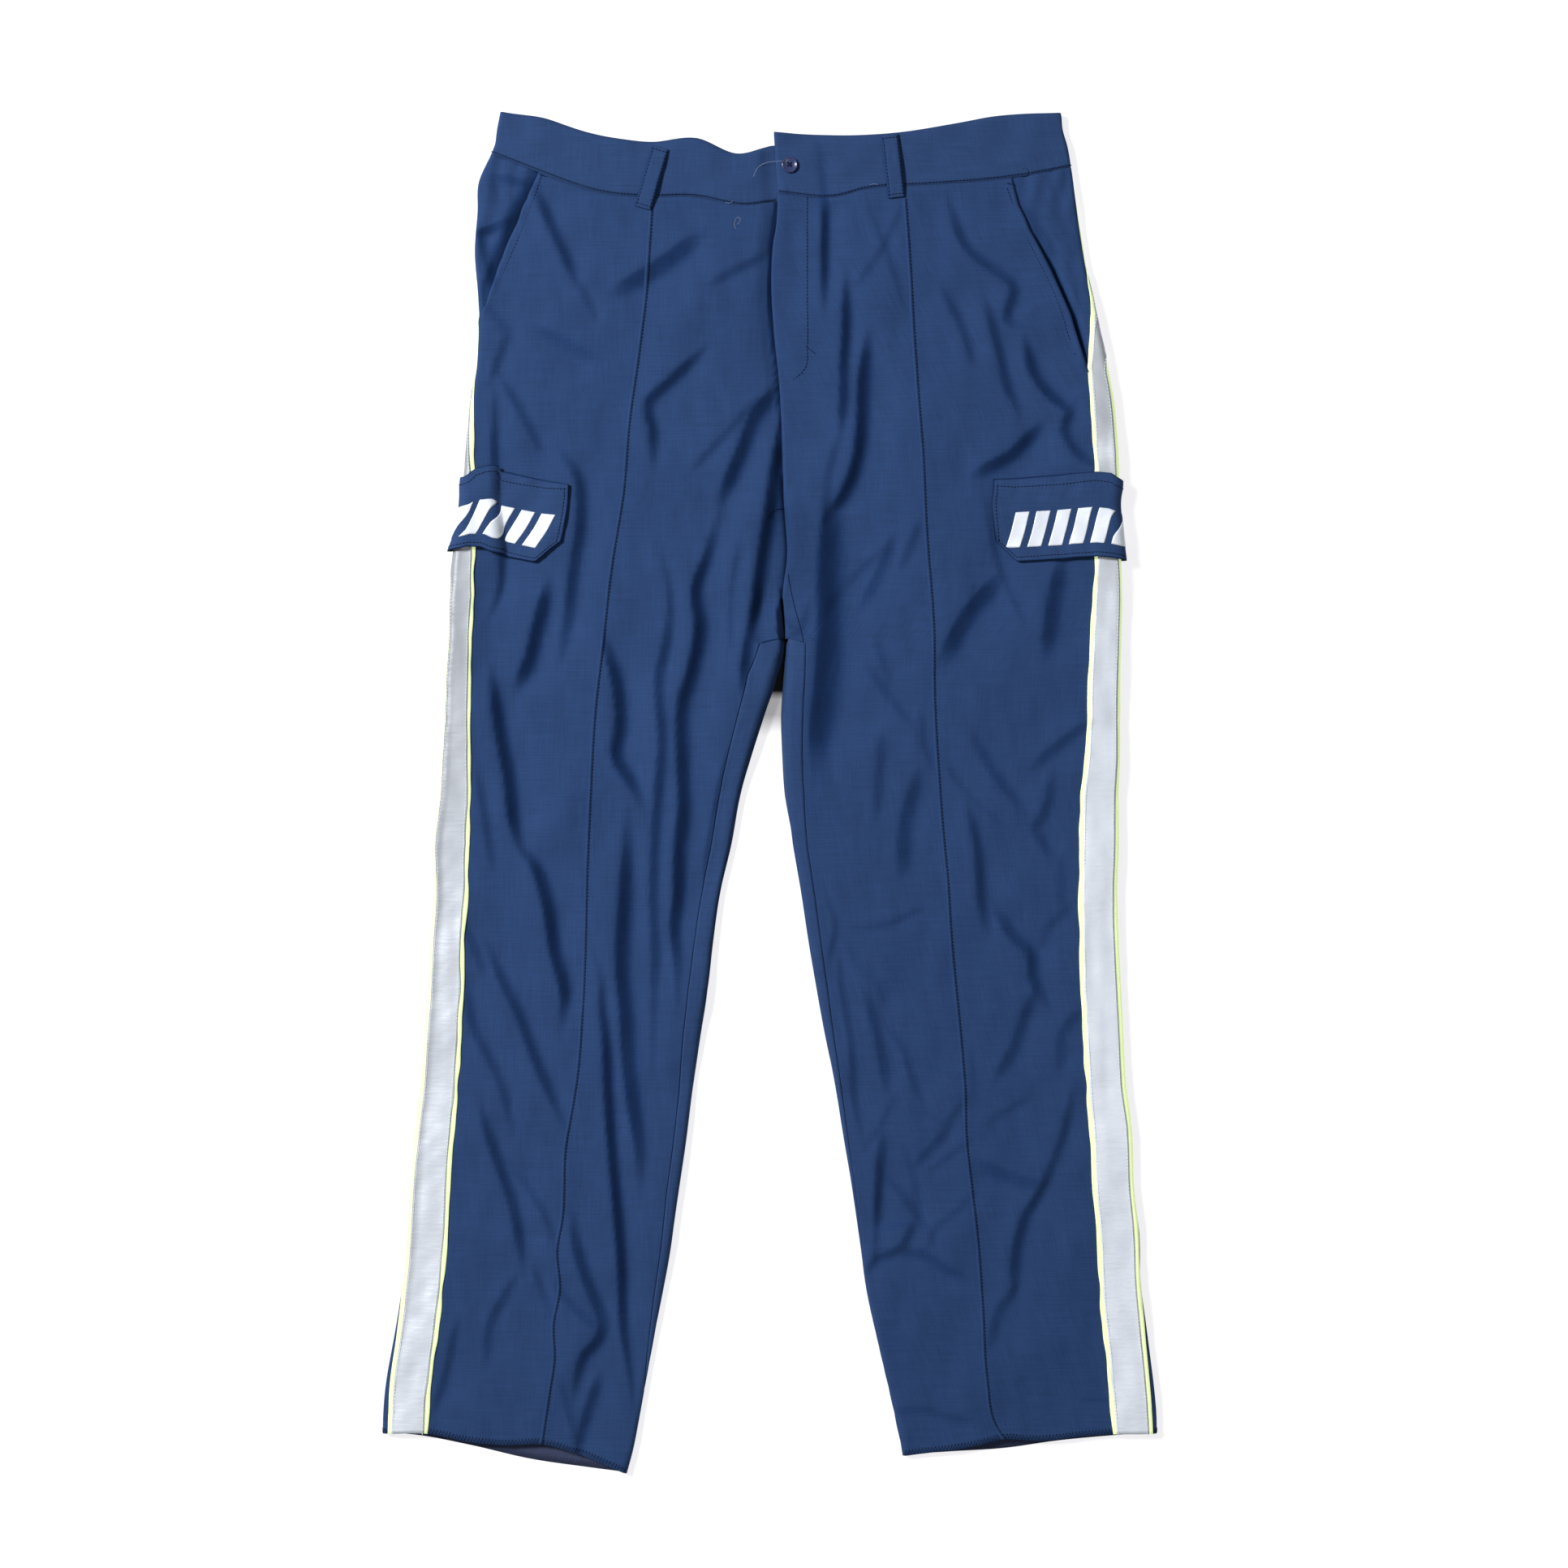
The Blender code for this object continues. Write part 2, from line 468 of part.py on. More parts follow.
def cloth(name, inner, outer, material, collection):
    """A closed wall between two grids of points, its inner and its outer face."""
    rows, columns = outer.shape[:2]
    count = rows * columns
    points = np.concatenate([outer.reshape(-1, 3), inner.reshape(-1, 3)]) * MM
    corner = np.arange(count).reshape(rows, columns)
    a, b = corner[:-1, :-1].ravel(), corner[:-1, 1:].ravel()
    c, d = corner[1:, 1:].ravel(), corner[1:, :-1].ravel()
    faces = [np.stack([a, b, c], 1), np.stack([a, c, d], 1)]
    faces += [np.stack([c, b, a], 1) + count, np.stack([d, c, a], 1) + count]
    rim = np.concatenate(
        [corner[0, :-1], corner[:-1, -1], corner[-1, :0:-1], corner[:0:-1, 0]]
    )
    after = np.roll(rim, -1)
    faces += [np.stack([rim, rim + count, after + count], 1)]
    faces += [np.stack([rim, after + count, after], 1)]
    mesh = bpy.data.meshes.new(name)
    mesh.from_pydata(points.tolist(), [], np.concatenate(faces).tolist())
    mesh.update()
    bent = bmesh.new()
    bent.from_mesh(mesh)
    bmesh.ops.recalc_face_normals(bent, faces=bent.faces)
    bent.to_mesh(mesh)
    bent.free()
    return finish_object(mesh, name, material, collection)


def layer(half, rows, arcs, low, wall):
    """Inner and outer face of a wall that starts this far off the skin."""
    rows = rows[:, None]
    return off_skin(half, rows, arcs, low), off_skin(half, rows, arcs, low + wall)


def fly_drop(half, rows, arcs):
    """How much lower the right half lies where the left half's fly covers it."""
    if half == "left":
        return np.zeros(arcs.shape)
    from_centre = measures(half, rows)["girth"][:, None] - arcs
    share = smooth((FLY_DROP_WIDTH - from_centre) / (FLY_DROP_WIDTH - 2.0))
    return FLY_DROP * share * (rows[:, None] <= FLY_END)


def front_arcs(half, rows):
    """Columns of a front, from the pocket edge or the side seam to the centre or the inseam."""
    tape_front, seam, _ = tape_edges(half, rows)
    found = measures(half, rows)
    start, _ = inseam_ends(half, rows)
    pocket = pocket_edge(half, rows)
    beside = beside_seam(seam, tape_front, SEAM_GAP / 2)
    clear_of_pocket = pocket[:, None] + EDGE_STEP * np.arange(len(TAPE_SHARES))
    cut = (rows < FACING_END[half])[:, None]
    beside = np.where(cut, np.maximum(beside, clear_of_pocket), beside)
    inner = start - np.where(rows >= CROTCH, SEAM_GAP / 2, 0.0)
    inner_edge = found["girth"] + np.where(rows >= CROTCH, 0, FAR_AWAY)
    across = spread(beside[:, -1], inner, FRONT_COLUMNS, np.stack([0 * rows, inner_edge], 1))
    arcs = np.concatenate([beside[:, :-1], across], axis=1)
    if half == "right":
        lap = np.where(rows < FLY_END, FLY_UNDERLAP, 0.0)[:, None]
        arcs = np.concatenate([arcs, arcs[:, -1:] + lap / 2, arcs[:, -1:] + lap], axis=1)
        closing = np.array([2.0, 1.0, 0.0])
        arcs[:, -3:] -= np.where(rows >= FLY_END, 1.0, 0.0)[:, None] * closing
    return arcs


def rows_between(half, first, last):
    """Whole section numbers, and the few between them where a seam rolls over an edge."""
    whole = np.arange(first, last + 1, dtype=float)
    return np.union1d(whole, [row for row in EXTRA_ROWS[half] if first < row < last])


def front(half):
    rows = rows_between(half, BAND_SEAM, HEM)
    arcs = front_arcs(half, rows)
    low = -CLOTH - FRONT_INSET - fly_drop(half, rows, arcs)
    return layer(half, rows, arcs, low, CLOTH)


def back_arcs(half, rows):
    """Columns of a back, from the side seam round underneath to the centre or the inseam."""
    _, seam, tape_back = tape_edges(half, rows)
    _, end = inseam_ends(half, rows)
    found = measures(half, rows)
    beside = beside_seam(seam, tape_back, SEAM_GAP / 2)
    inner = end + np.where(rows >= CROTCH, SEAM_GAP / 2, 0.0)
    inner_edge = -found["girth"] - np.where(rows >= CROTCH, 0, FAR_AWAY)
    across = spread(tape_back, inner, BACK_COLUMNS, np.stack([0 * rows, inner_edge], 1))
    return np.concatenate([beside[:, :-1], across], axis=1)[:, ::-1]


def back(half):
    rows = rows_between(half, BAND_SEAM, HEM)
    return layer(half, rows, back_arcs(half, rows), -CLOTH, CLOTH)


def facing_arcs(half, rows, pocket):
    tape_front, seam, _ = tape_edges(half, rows)
    beside = beside_seam(seam, tape_front, SEAM_GAP / 2)
    end = np.maximum(pocket + POCKET_UNDERLAP, tape_front + POCKET_UNDERLAP / 2)
    across = spread(tape_front, end, FACING_COLUMNS, np.zeros((len(rows), 1)))
    return np.concatenate([beside[:, :-1], across], axis=1)


def pocket_edge(half, rows):
    """Arc length of the slanted pocket edge, which ends on the side seam."""
    whole = np.arange(FACING_END[half] + 1, dtype=float)
    found = measures(half, whole)
    edge = arc_of(found["pocket"], found["outer_radius"])
    edge[-1] = tape_edges(half, whole)[1][-1]
    return np.interp(rows, whole, edge)


def pocket_facing(half):
    rows = rows_between(half, BAND_SEAM, FACING_END[half])
    pocket = pocket_edge(half, rows)
    arcs = facing_arcs(half, rows, pocket)
    drop = POCKET_DROP * smooth((arcs - pocket[:, None]) / POCKET_DIP + 1.5)
    return layer(half, rows, arcs, -CLOTH - drop, CLOTH)


def waistband(half):
    """The band keeps the columns of the pieces under it, so that the waist seam stays even."""
    seam_row = np.array([float(BAND_SEAM)])
    pocket = pocket_edge(half, seam_row)
    facing = facing_arcs(half, seam_row, pocket)[0]
    top = np.concatenate([facing[facing < pocket[0] - 4.0], front_arcs(half, seam_row)[0]])
    whole = np.concatenate([back_arcs(half, seam_row)[0], top[1:]])
    rows = np.arange(0, BAND_SEAM + 1, dtype=float)
    girth = measures(half, rows)["girth"]
    arcs = whole[None, :] * (girth / girth[-1])[:, None]
    low = -BAND_CLOTH - fly_drop(half, rows, arcs)
    inner, outer = layer(half, rows, arcs, low, BAND_CLOTH)
    inner[-1, :, 1] += SEAM_GAP
    outer[-1, :, 1] += SEAM_GAP
    return inner, outer


def tape(half, share, low):
    """One layer of the tape: share is the part of the tape's width that it covers."""
    rows = rows_between(half, BAND_SEAM, HEM)
    front_edge, seam, back_edge = tape_edges(half, rows)
    steps = np.array([step for step in TAPE_SHARES if step <= share])
    to_front = seam[:, None] + (front_edge - seam)[:, None] * steps
    to_back = seam[:, None] + (back_edge - seam)[:, None] * steps[:0:-1]
    return layer(half, rows, np.concatenate([to_back, to_front], axis=1), low, TAPE_CLOTH)


def flap(half):
    rows = np.arange(FLAP_ROWS[0], FLAP_ROWS[1] + 1, dtype=float)
    front_edge, seam, back_edge = tape_edges(half, rows)
    beside_front = beside_seam(seam, front_edge, 0.0)
    beside_back = beside_seam(seam, back_edge, 0.0)
    edge = np.zeros((len(rows), 1))
    reach = np.full(len(rows), FLAP_HALF_WIDTH)
    reach[-1] -= FLAP_CHAMFER
    to_front = spread(front_edge, seam + reach, FLAP_COLUMNS, edge)[:, 1:]
    to_back = spread(back_edge, seam - reach, FLAP_COLUMNS, edge)[:, 1:]
    arcs = np.concatenate([to_back[:, ::-1], beside_back[:, :0:-1], beside_front, to_front], 1)
    return layer(half, rows, arcs, flap_clearance(np.abs(arcs - seam[:, None])), FLAP_CLOTH)


def locate(half, x, y):
    """Section number and arc length of the point on top that lies over x, y."""
    row = 1.0
    for _ in range(40):
        found = measures(half, np.array(row))
        share = (float(found["outer_x"]) - x) / (float(found["ux"]) * float(found["length"]))
        share = min(max(share, 0.0), 1.0)
        distance = share * float(found["length"])
        sag = float(sag_of(half, np.array(row), np.array(share), np.array(True)))
        section_y = float(found["outer_y"]) - float(found["uy"]) * distance - sag
        row = min(max(row + (section_y - y) / 30.0, 0.0), float(HEM))
    arc = distance + (math.pi / 2 - 1) * float(found["outer_radius"])
    return row, arc


def belt_loop(half):
    top, bottom = (np.array(end) for end in LOOP_ENDS[half])
    along = (bottom - top) / np.linalg.norm(bottom - top)
    across = np.array([-along[1], along[0]])
    rows = []
    for share in np.linspace(0.0, 1.0, LOOP_POINTS):
        middle = top + (bottom - top) * share
        points = [middle + across * side * LOOP_WIDTH / 2 for side in (-1.0, 0.0, 1.0)]
        on_skin = np.array([skin(half, *locate(half, *point)) for point in points])
        on_skin[:, 2] += LOOP_GAP + LOOP_BULGE * math.sin(math.pi * share)
        rows.append(on_skin)
    inner = np.array(rows)
    return inner, inner + np.array([0.0, 0.0, LOOP_CLOTH])


def button(material, collection):
    """A turned disc with a raised rim, and four holes cut through it."""
    x, y = BUTTON_CENTRE
    row, arc = locate("left", x, y)
    seat = skin("left", row, arc)[2] + LAYER_GAP
    top, dish = BUTTON_THICKNESS, BUTTON_THICKNESS - BUTTON_DISH
    inner_rim = BUTTON_RADIUS - BUTTON_RIM
    profile = (
        (0.0, dish),
        (inner_rim - 0.7, dish),
        (inner_rim + 0.2, top),
        (BUTTON_RADIUS - 0.6, top),
        (BUTTON_RADIUS, top - 0.7),
        (BUTTON_RADIUS, 0.8),
        (BUTTON_RADIUS - 1.2, 0.0),
        (0.0, 0.0),
    )
    mesh = bpy.data.meshes.new("button")
    points = [(radius * MM, 0.0, height * MM) for radius, height in profile]
    mesh.from_pydata(points, [(i, i + 1) for i in range(len(points) - 1)], [])
    made = finish_object(mesh, "button", material, collection)
    made.location = (x * MM, y * MM, seat * MM)
    turn = made.modifiers.new("turn", "SCREW")
    turn.axis = "Z"
    turn.steps = turn.render_steps = 24
    turn.use_merge_vertices = True
    turn.merge_threshold = 0.00001
    cutters = bpy.data.collections.new("cutters")
    bpy.context.scene.collection.children.link(cutters)
    for index in range(4):
        angle = math.pi / 4 + index * math.pi / 2
        bpy.ops.mesh.primitive_cylinder_add(
            vertices=10,
            radius=BUTTON_HOLE_RADIUS * MM,
            depth=4 * BUTTON_THICKNESS * MM,
            location=(
                (x + BUTTON_HOLE_OFFSET * math.cos(angle)) * MM,
                (y + BUTTON_HOLE_OFFSET * math.sin(angle)) * MM,
                seat * MM,
            ),
        )
        cutter = bpy.context.object
        cutter.name = f"button_hole_{index + 1}"
        cutter.hide_render = True
        cutter.display_type = "WIRE"
        for owner in list(cutter.users_collection):
            owner.objects.unlink(cutter)
        cutters.objects.link(cutter)
        cut = made.modifiers.new(f"hole_{index + 1}", "BOOLEAN")
        cut.object = cutter
        cut.operation = "DIFFERENCE"


def main():
    for old in list(bpy.data.objects):
        bpy.data.objects.remove(old)
    materials = {name: make_material(name) for name in FINISHES}
    trousers = bpy.data.collections.new("uniform_trousers")
    bpy.context.scene.collection.children.link(trousers)
    navy = materials["navy_cloth"]
    for half in ("right", "left"):
        silver_low = 2 * LAYER_GAP + TAPE_CLOTH
        pieces = (
            ("waistband", waistband(half), navy),
            ("front", front(half), navy),
            ("back", back(half), navy),
            ("pocket_facing", pocket_facing(half), navy),
            ("tape_lime", tape(half, 1.0, LAYER_GAP), materials["lime_tape"]),
            ("tape_silver", tape(half, SILVER_SHARE, silver_low), materials["silver_tape"]),
            ("flap", flap(half), navy),
            ("belt_loop", belt_loop(half), navy),
        )
        for name, (inner, outer), material in pieces:
            cloth(f"{name}_{half}", inner, outer, material, trousers)
    button(materials["navy_plastic"], trousers)


main()
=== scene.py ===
"""The look of the uniform trousers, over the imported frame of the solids.

Metres, +X to the right as seen from above, +Y towards the waist, +Z up. The tables are in
millimetres and repeat the solids' sections. "Left" and "right" are the wearer's.
"""

import math
from collections import namedtuple

import bmesh
import bpy
import numpy as np
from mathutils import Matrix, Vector


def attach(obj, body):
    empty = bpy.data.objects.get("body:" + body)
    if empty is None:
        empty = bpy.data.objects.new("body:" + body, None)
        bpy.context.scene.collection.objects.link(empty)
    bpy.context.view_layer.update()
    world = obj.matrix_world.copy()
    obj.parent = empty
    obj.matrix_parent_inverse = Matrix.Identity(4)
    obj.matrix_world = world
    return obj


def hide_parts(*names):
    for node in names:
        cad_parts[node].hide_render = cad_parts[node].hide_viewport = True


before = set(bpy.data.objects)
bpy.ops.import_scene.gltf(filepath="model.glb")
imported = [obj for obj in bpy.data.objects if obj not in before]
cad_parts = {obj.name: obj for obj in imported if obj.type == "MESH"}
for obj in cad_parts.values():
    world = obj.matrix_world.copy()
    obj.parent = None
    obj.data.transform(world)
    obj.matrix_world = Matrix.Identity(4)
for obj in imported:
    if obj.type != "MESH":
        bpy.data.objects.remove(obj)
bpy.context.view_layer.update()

MM = 0.001

# Walls and clearances, in millimetres
CLOTH = 0.6
BAND_CLOTH = 1.3
TAPE_CLOTH = 0.35
SEAM_GAP = 0.3
LIME_LOW = 0.45
SILVER_LOW = 1.0
TAPE_STACK = 2.9
FLAP_CLOTH = 1.0

# Forms shared by both sides
INNER_THICKNESS = (8.5, 8.0, 7.0)
INNER_EDGE_RADIUS = 4.0
BLEND_IN = 60.0
BLEND_OUT = 48.0
FLY_DROP = 2.2
FLY_UNDERLAP = 20.0
FLY_DROP_WIDTH = 13.0
FLY_BULGE = 0.8
CENTRE_UNDERLAP = 5.0
CENTRE_DROP = 1.6
POCKET_DEPTH = 5.0
POCKET_DIP = 9.0
POCKET_UNDERLAP = 15.0
SILVER_SHARE = 0.8
LIFT_FADE = 14.0
DEEPEST_FOLD = -8.0
LEAST_THICKNESS = 1.8
SOFT_LIMIT = 1.0
PROBE = 0.4

# Section numbers
BAND_SEAM = 2
FLY_END = 8
CROTCH = 14
HEM = 32
INSEAM_BEND = 14.12
BACK_BEND = 14.02
INSEAM_IN = {"right": 19.5, "left": 16.5}
INSEAM_BLEND = 40.0
SAG_FADE = 5.0
HEM_FADE = 4.0
FACING_END = {"right": 7, "left": 8}

# The flap that wraps the side of each thigh
FLAP_ROWS = (9, 12)
FLAP_HALF_WIDTH = 92.0
FLAP_SHIFT = {"right": -7.0, "left": 0.0}
FLAP_END_GAP = 1.4
FLAP_OVER_TAPE = 21.0
FLAP_SETTLE = 26.0
FLAP_LIFT_END = 100.0
FLAP_CHAMFER = 17.0

# Grid spacing, in millimetres
FRONT_STEP = 2.7
BACK_STEP = 6.0
TRIM_STEP = 3.0

# One row a section, in millimetres. Outer and inner are the ends of the section seen from above,
# edge its thickness at the outer end and mid its thickness in the middle. Tape_in is the distance
# from the outer edge to the tape's front edge, less than 0 where that lies underneath, and tuck
# is how far the tape reaches underneath. Pocket is the distance from the outer edge to the slanted
# pocket edge, and inseam the distance from the inner edge to the inseam, less than 0 underneath.
Section = namedtuple(
    "Section", "outer_x outer_y inner_x inner_y edge mid tape_in tuck pocket inseam"
)
SECTIONS = {
    "right": (
        Section(-213.0, 537.9, 2.0, 511.5, 8.0, 8.5, -3, 36, 0, 0),
        Section(-215.5, 520.0, 4.0, 489.0, 8.0, 8.5, -3, 36, 0, 0),
        Section(-220.0, 505.0, 5.5, 467.0, 8.5, 9.0, -3, 36, 38, 0),
        Section(-230.0, 482.0, 5.0, 449.0, 9.0, 10.0, -3, 36, 39, 0),
        Section(-231.0, 458.0, 2.0, 429.0, 9.0, 10.5, -3, 36, 32, 0),
        Section(-233.0, 426.0, 1.0, 400.0, 10.0, 10.5, -2, 35, 22, 0),
        Section(-230.0, 385.0, 3.0, 364.0, 11.0, 10.5, -2, 33, 5.5, 0),
        Section(-231.0, 341.0, 7.0, 326.0, 11.0, 10.5, -1.2, 30, 0, 0),
        Section(-236.0, 302.0, 9.0, 292.0, 11.0, 10.5, 2.6, 26, 0, 0),
        Section(-240.0, 253.0, 10.4, 249.0, 12.5, 10.5, 8, 22, 0, 0),
        Section(-241.0, 231.0, 11.0, 228.0, 13.5, 10.0, 10, 17, 0, 0),
        Section(-244.0, 209.0, 12.5, 207.0, 14.5, 10.0, 13, 12, 0, 0),
        Section(-249.0, 187.0, 13.4, 186.0, 15.5, 10.0, 17, 6, 0, 0),
        Section(-252.0, 155.0, 9.9, 155.0, 16.0, 10.0, 19, 1.5, 0, 0),
        Section(-253.0, 122.0, 11.8, 122.0, 16.0, 10.0, 18.2, 0, 0, 0),
        Section(-255.0, 93.0, 8.5, 93.0, 16.0, 10.0, 19.4, 0, 0, 26),
        Section(-256.0, 62.0, -2.0, 62.0, 16.0, 10.0, 20.2, 0, 0, 23),
        Section(-258.0, 30.0, -13.0, 30.0, 15.0, 10.0, 22.4, 0, 0, 20),
        Section(-260.0, -2.0, -23.0, -2.0, 14.0, 10.0, 24.3, 0, 0, 16.5),
        Section(-265.0, -40.0, -30.0, -40.0, 12.0, 9.5, 28.5, 0, 0, 16),
        Section(-265.0, -79.0, -39.0, -79.0, 10.0, 9.5, 26.9, 0.5, 0, 14.5),
        Section(-268.0, -117.0, -44.0, -117.0, 9.0, 9.0, 27.2, 1, 0, 15.5),
        Section(-270.0, -156.0, -48.0, -156.0, 8.5, 9.0, 28.8, 1, 0, 16.5),
        Section(-273.0, -194.0, -55.0, -195.0, 8.5, 9.0, 29.8, 1, 0, 13.6),
        Section(-276.0, -232.0, -61.0, -235.0, 8.0, 9.0, 30.1, 0.8, 0, 10.4),
        Section(-280.0, -271.0, -66.0, -276.0, 8.0, 9.0, 31, 0, 0, 10),
        Section(-283.0, -309.0, -72.0, -317.0, 8.0, 9.0, 31, 0, 0, 9.5),
        Section(-286.0, -348.0, -78.0, -360.0, 8.0, 9.0, 32.3, -1, 0, 8),
        Section(-290.0, -386.0, -86.0, -402.0, 8.0, 8.5, 33, -2, 0, 6),
        Section(-296.0, -424.0, -94.0, -444.0, 7.5, 8.5, 34.6, -3.5, 0, 3),
        Section(-303.0, -463.0, -102.0, -488.0, 7.5, 8.0, 36.5, -5, 0, -1.5),
        Section(-305.5, -488.0, -107.5, -517.0, 7.0, 8.0, 37, -6, 0, -4),
        Section(-306.0, -506.0, -113.0, -538.0, 7.0, 8.0, 36.8, -6, 0, -6),
    ),
    "left": (
        Section(230.0, 537.0, 3.0, 521.5, 8.0, 8.5, -3, 30, 0, 0),
        Section(233.5, 515.0, 4.5, 497.5, 8.0, 8.5, -3, 30, 0, 0),
        Section(238.0, 494.0, 6.0, 473.0, 8.5, 9.0, -3, 30, 47, 0),
        Section(241.0, 472.0, 5.0, 449.0, 9.0, 10.0, -2, 30, 45, 0),
        Section(244.0, 449.0, 2.0, 429.0, 9.0, 10.5, -0.8, 30, 39, 0),
        Section(249.0, 417.0, 1.0, 400.0, 9.5, 10.5, -0.5, 28, 28, 0),
        Section(257.0, 378.0, 3.0, 364.0, 10.5, 10.5, 3.8, 20, 19.5, 0),
        Section(266.0, 337.0, 7.0, 326.0, 11.0, 10.5, 16, 9, 16.2, 0),
        Section(272.0, 301.0, 9.0, 292.0, 11.0, 10.5, 19, 2, 0, 0),
        Section(275.0, 251.0, 10.4, 249.0, 12.5, 10.5, 19, 3, 0, 0),
        Section(273.0, 228.0, 11.0, 228.0, 13.5, 10.5, 19, 4, 0, 0),
        Section(275.0, 206.0, 12.5, 207.0, 13.5, 10.0, 19.5, 4, 0, 0),
        Section(276.5, 183.0, 13.4, 186.0, 13.5, 10.0, 20.5, 2.5, 0, 0),
        Section(277.4, 155.0, 9.9, 155.0, 13.0, 10.0, 22.8, 0.5, 0, 0),
        Section(277.0, 122.0, 11.8, 122.0, 12.0, 10.0, 24.4, 0, 0, 0),
        Section(276.0, 93.0, 10.5, 93.0, 12.0, 10.0, 25, 0, 0, 17.5),
        Section(276.0, 62.0, 8.5, 62.0, 11.0, 10.0, 25.6, 0.5, 0, 18),
        Section(276.0, 30.0, 9.0, 30.0, 11.0, 10.0, 27.7, 0.5, 0, 17),
        Section(275.0, -2.0, 11.0, -2.0, 10.0, 10.0, 30.1, 0, 0, 16.4),
        Section(275.0, -40.0, 17.0, -40.0, 9.0, 9.5, 31, 0, 0, 12.6),
        Section(274.0, -79.0, 24.0, -79.0, 9.0, 9.5, 30.1, 0, 0, 11.4),
        Section(275.0, -117.0, 30.0, -117.0, 8.5, 9.0, 31, 0, 0, 10.5),
        Section(277.0, -156.0, 37.0, -156.0, 8.5, 9.0, 32, -0.5, 0, 9),
        Section(279.0, -194.0, 44.0, -194.0, 8.0, 9.0, 32, -0.5, 0, 7),
        Section(281.0, -232.0, 52.0, -234.0, 8.0, 9.0, 31.5, 0, 0, 4.7),
        Section(286.0, -271.0, 58.5, -274.0, 8.0, 9.0, 33.6, -1.5, 0, 3.6),
        Section(287.0, -309.0, 65.0, -313.0, 8.0, 9.0, 32.6, -1, 0, 2.3),
        Section(292.0, -348.0, 71.0, -354.0, 8.0, 9.0, 34.6, -2.5, 0, 1.5),
        Section(293.0, -386.0, 76.5, -394.0, 8.0, 8.5, 33.5, -2, 0, -2.6),
        Section(298.0, -424.0, 85.5, -435.0, 7.5, 8.5, 35, -3.5, 0, -9),
        Section(303.0, -463.0, 95.0, -476.0, 7.5, 8.0, 36.5, -5, 0, -16),
        Section(305.5, -488.0, 101.0, -504.0, 7.0, 8.0, 36.5, -5.5, 0, -21),
        Section(306.0, -506.0, 105.0, -524.0, 7.0, 8.0, 35.5, -5, 0, -24),
    ),
}

# How far a section hangs below its straight chord: share of the way in from the outer edge, and sag
SAGS = {
    "right": {
        "band_top": ((0, 0), (0.16, 1), (0.32, 8), (0.56, 9), (0.72, 2), (0.88, 10), (1, 0)),
        "band_seam": ((0, 0), (0.15, 8), (0.4, 17), (0.55, 14), (0.7, 8), (0.9, 7), (1, 0)),
        "front_hem": ((0, 0), (0.18, -6), (0.37, -5), (0.5, -7), (0.66, -12.6), (0.8, -9.5), (1, 0)),
        "back_hem": ((0, 0), (0.14, -2), (0.36, -1), (0.6, 2), (0.85, 1), (1, 0)),
    },
    "left": {
        "band_top": ((0, 0), (0.19, -1), (0.32, 1.5), (0.45, 5), (0.7, 7), (0.9, 3), (1, 0)),
        "band_seam": ((0, 0), (0.16, 4), (0.3, 5), (0.5, 4), (0.7, 3), (0.8, 7), (1, 0)),
        "front_hem": ((0, 0), (0.2, -3.2), (0.5, -3.6), (0.6, -6.6), (0.7, -3.6), (1, 0)),
        "back_hem": ((0, 0), (0.4, 0), (0.6, 2), (0.8, 1), (1, 0)),
    },
}

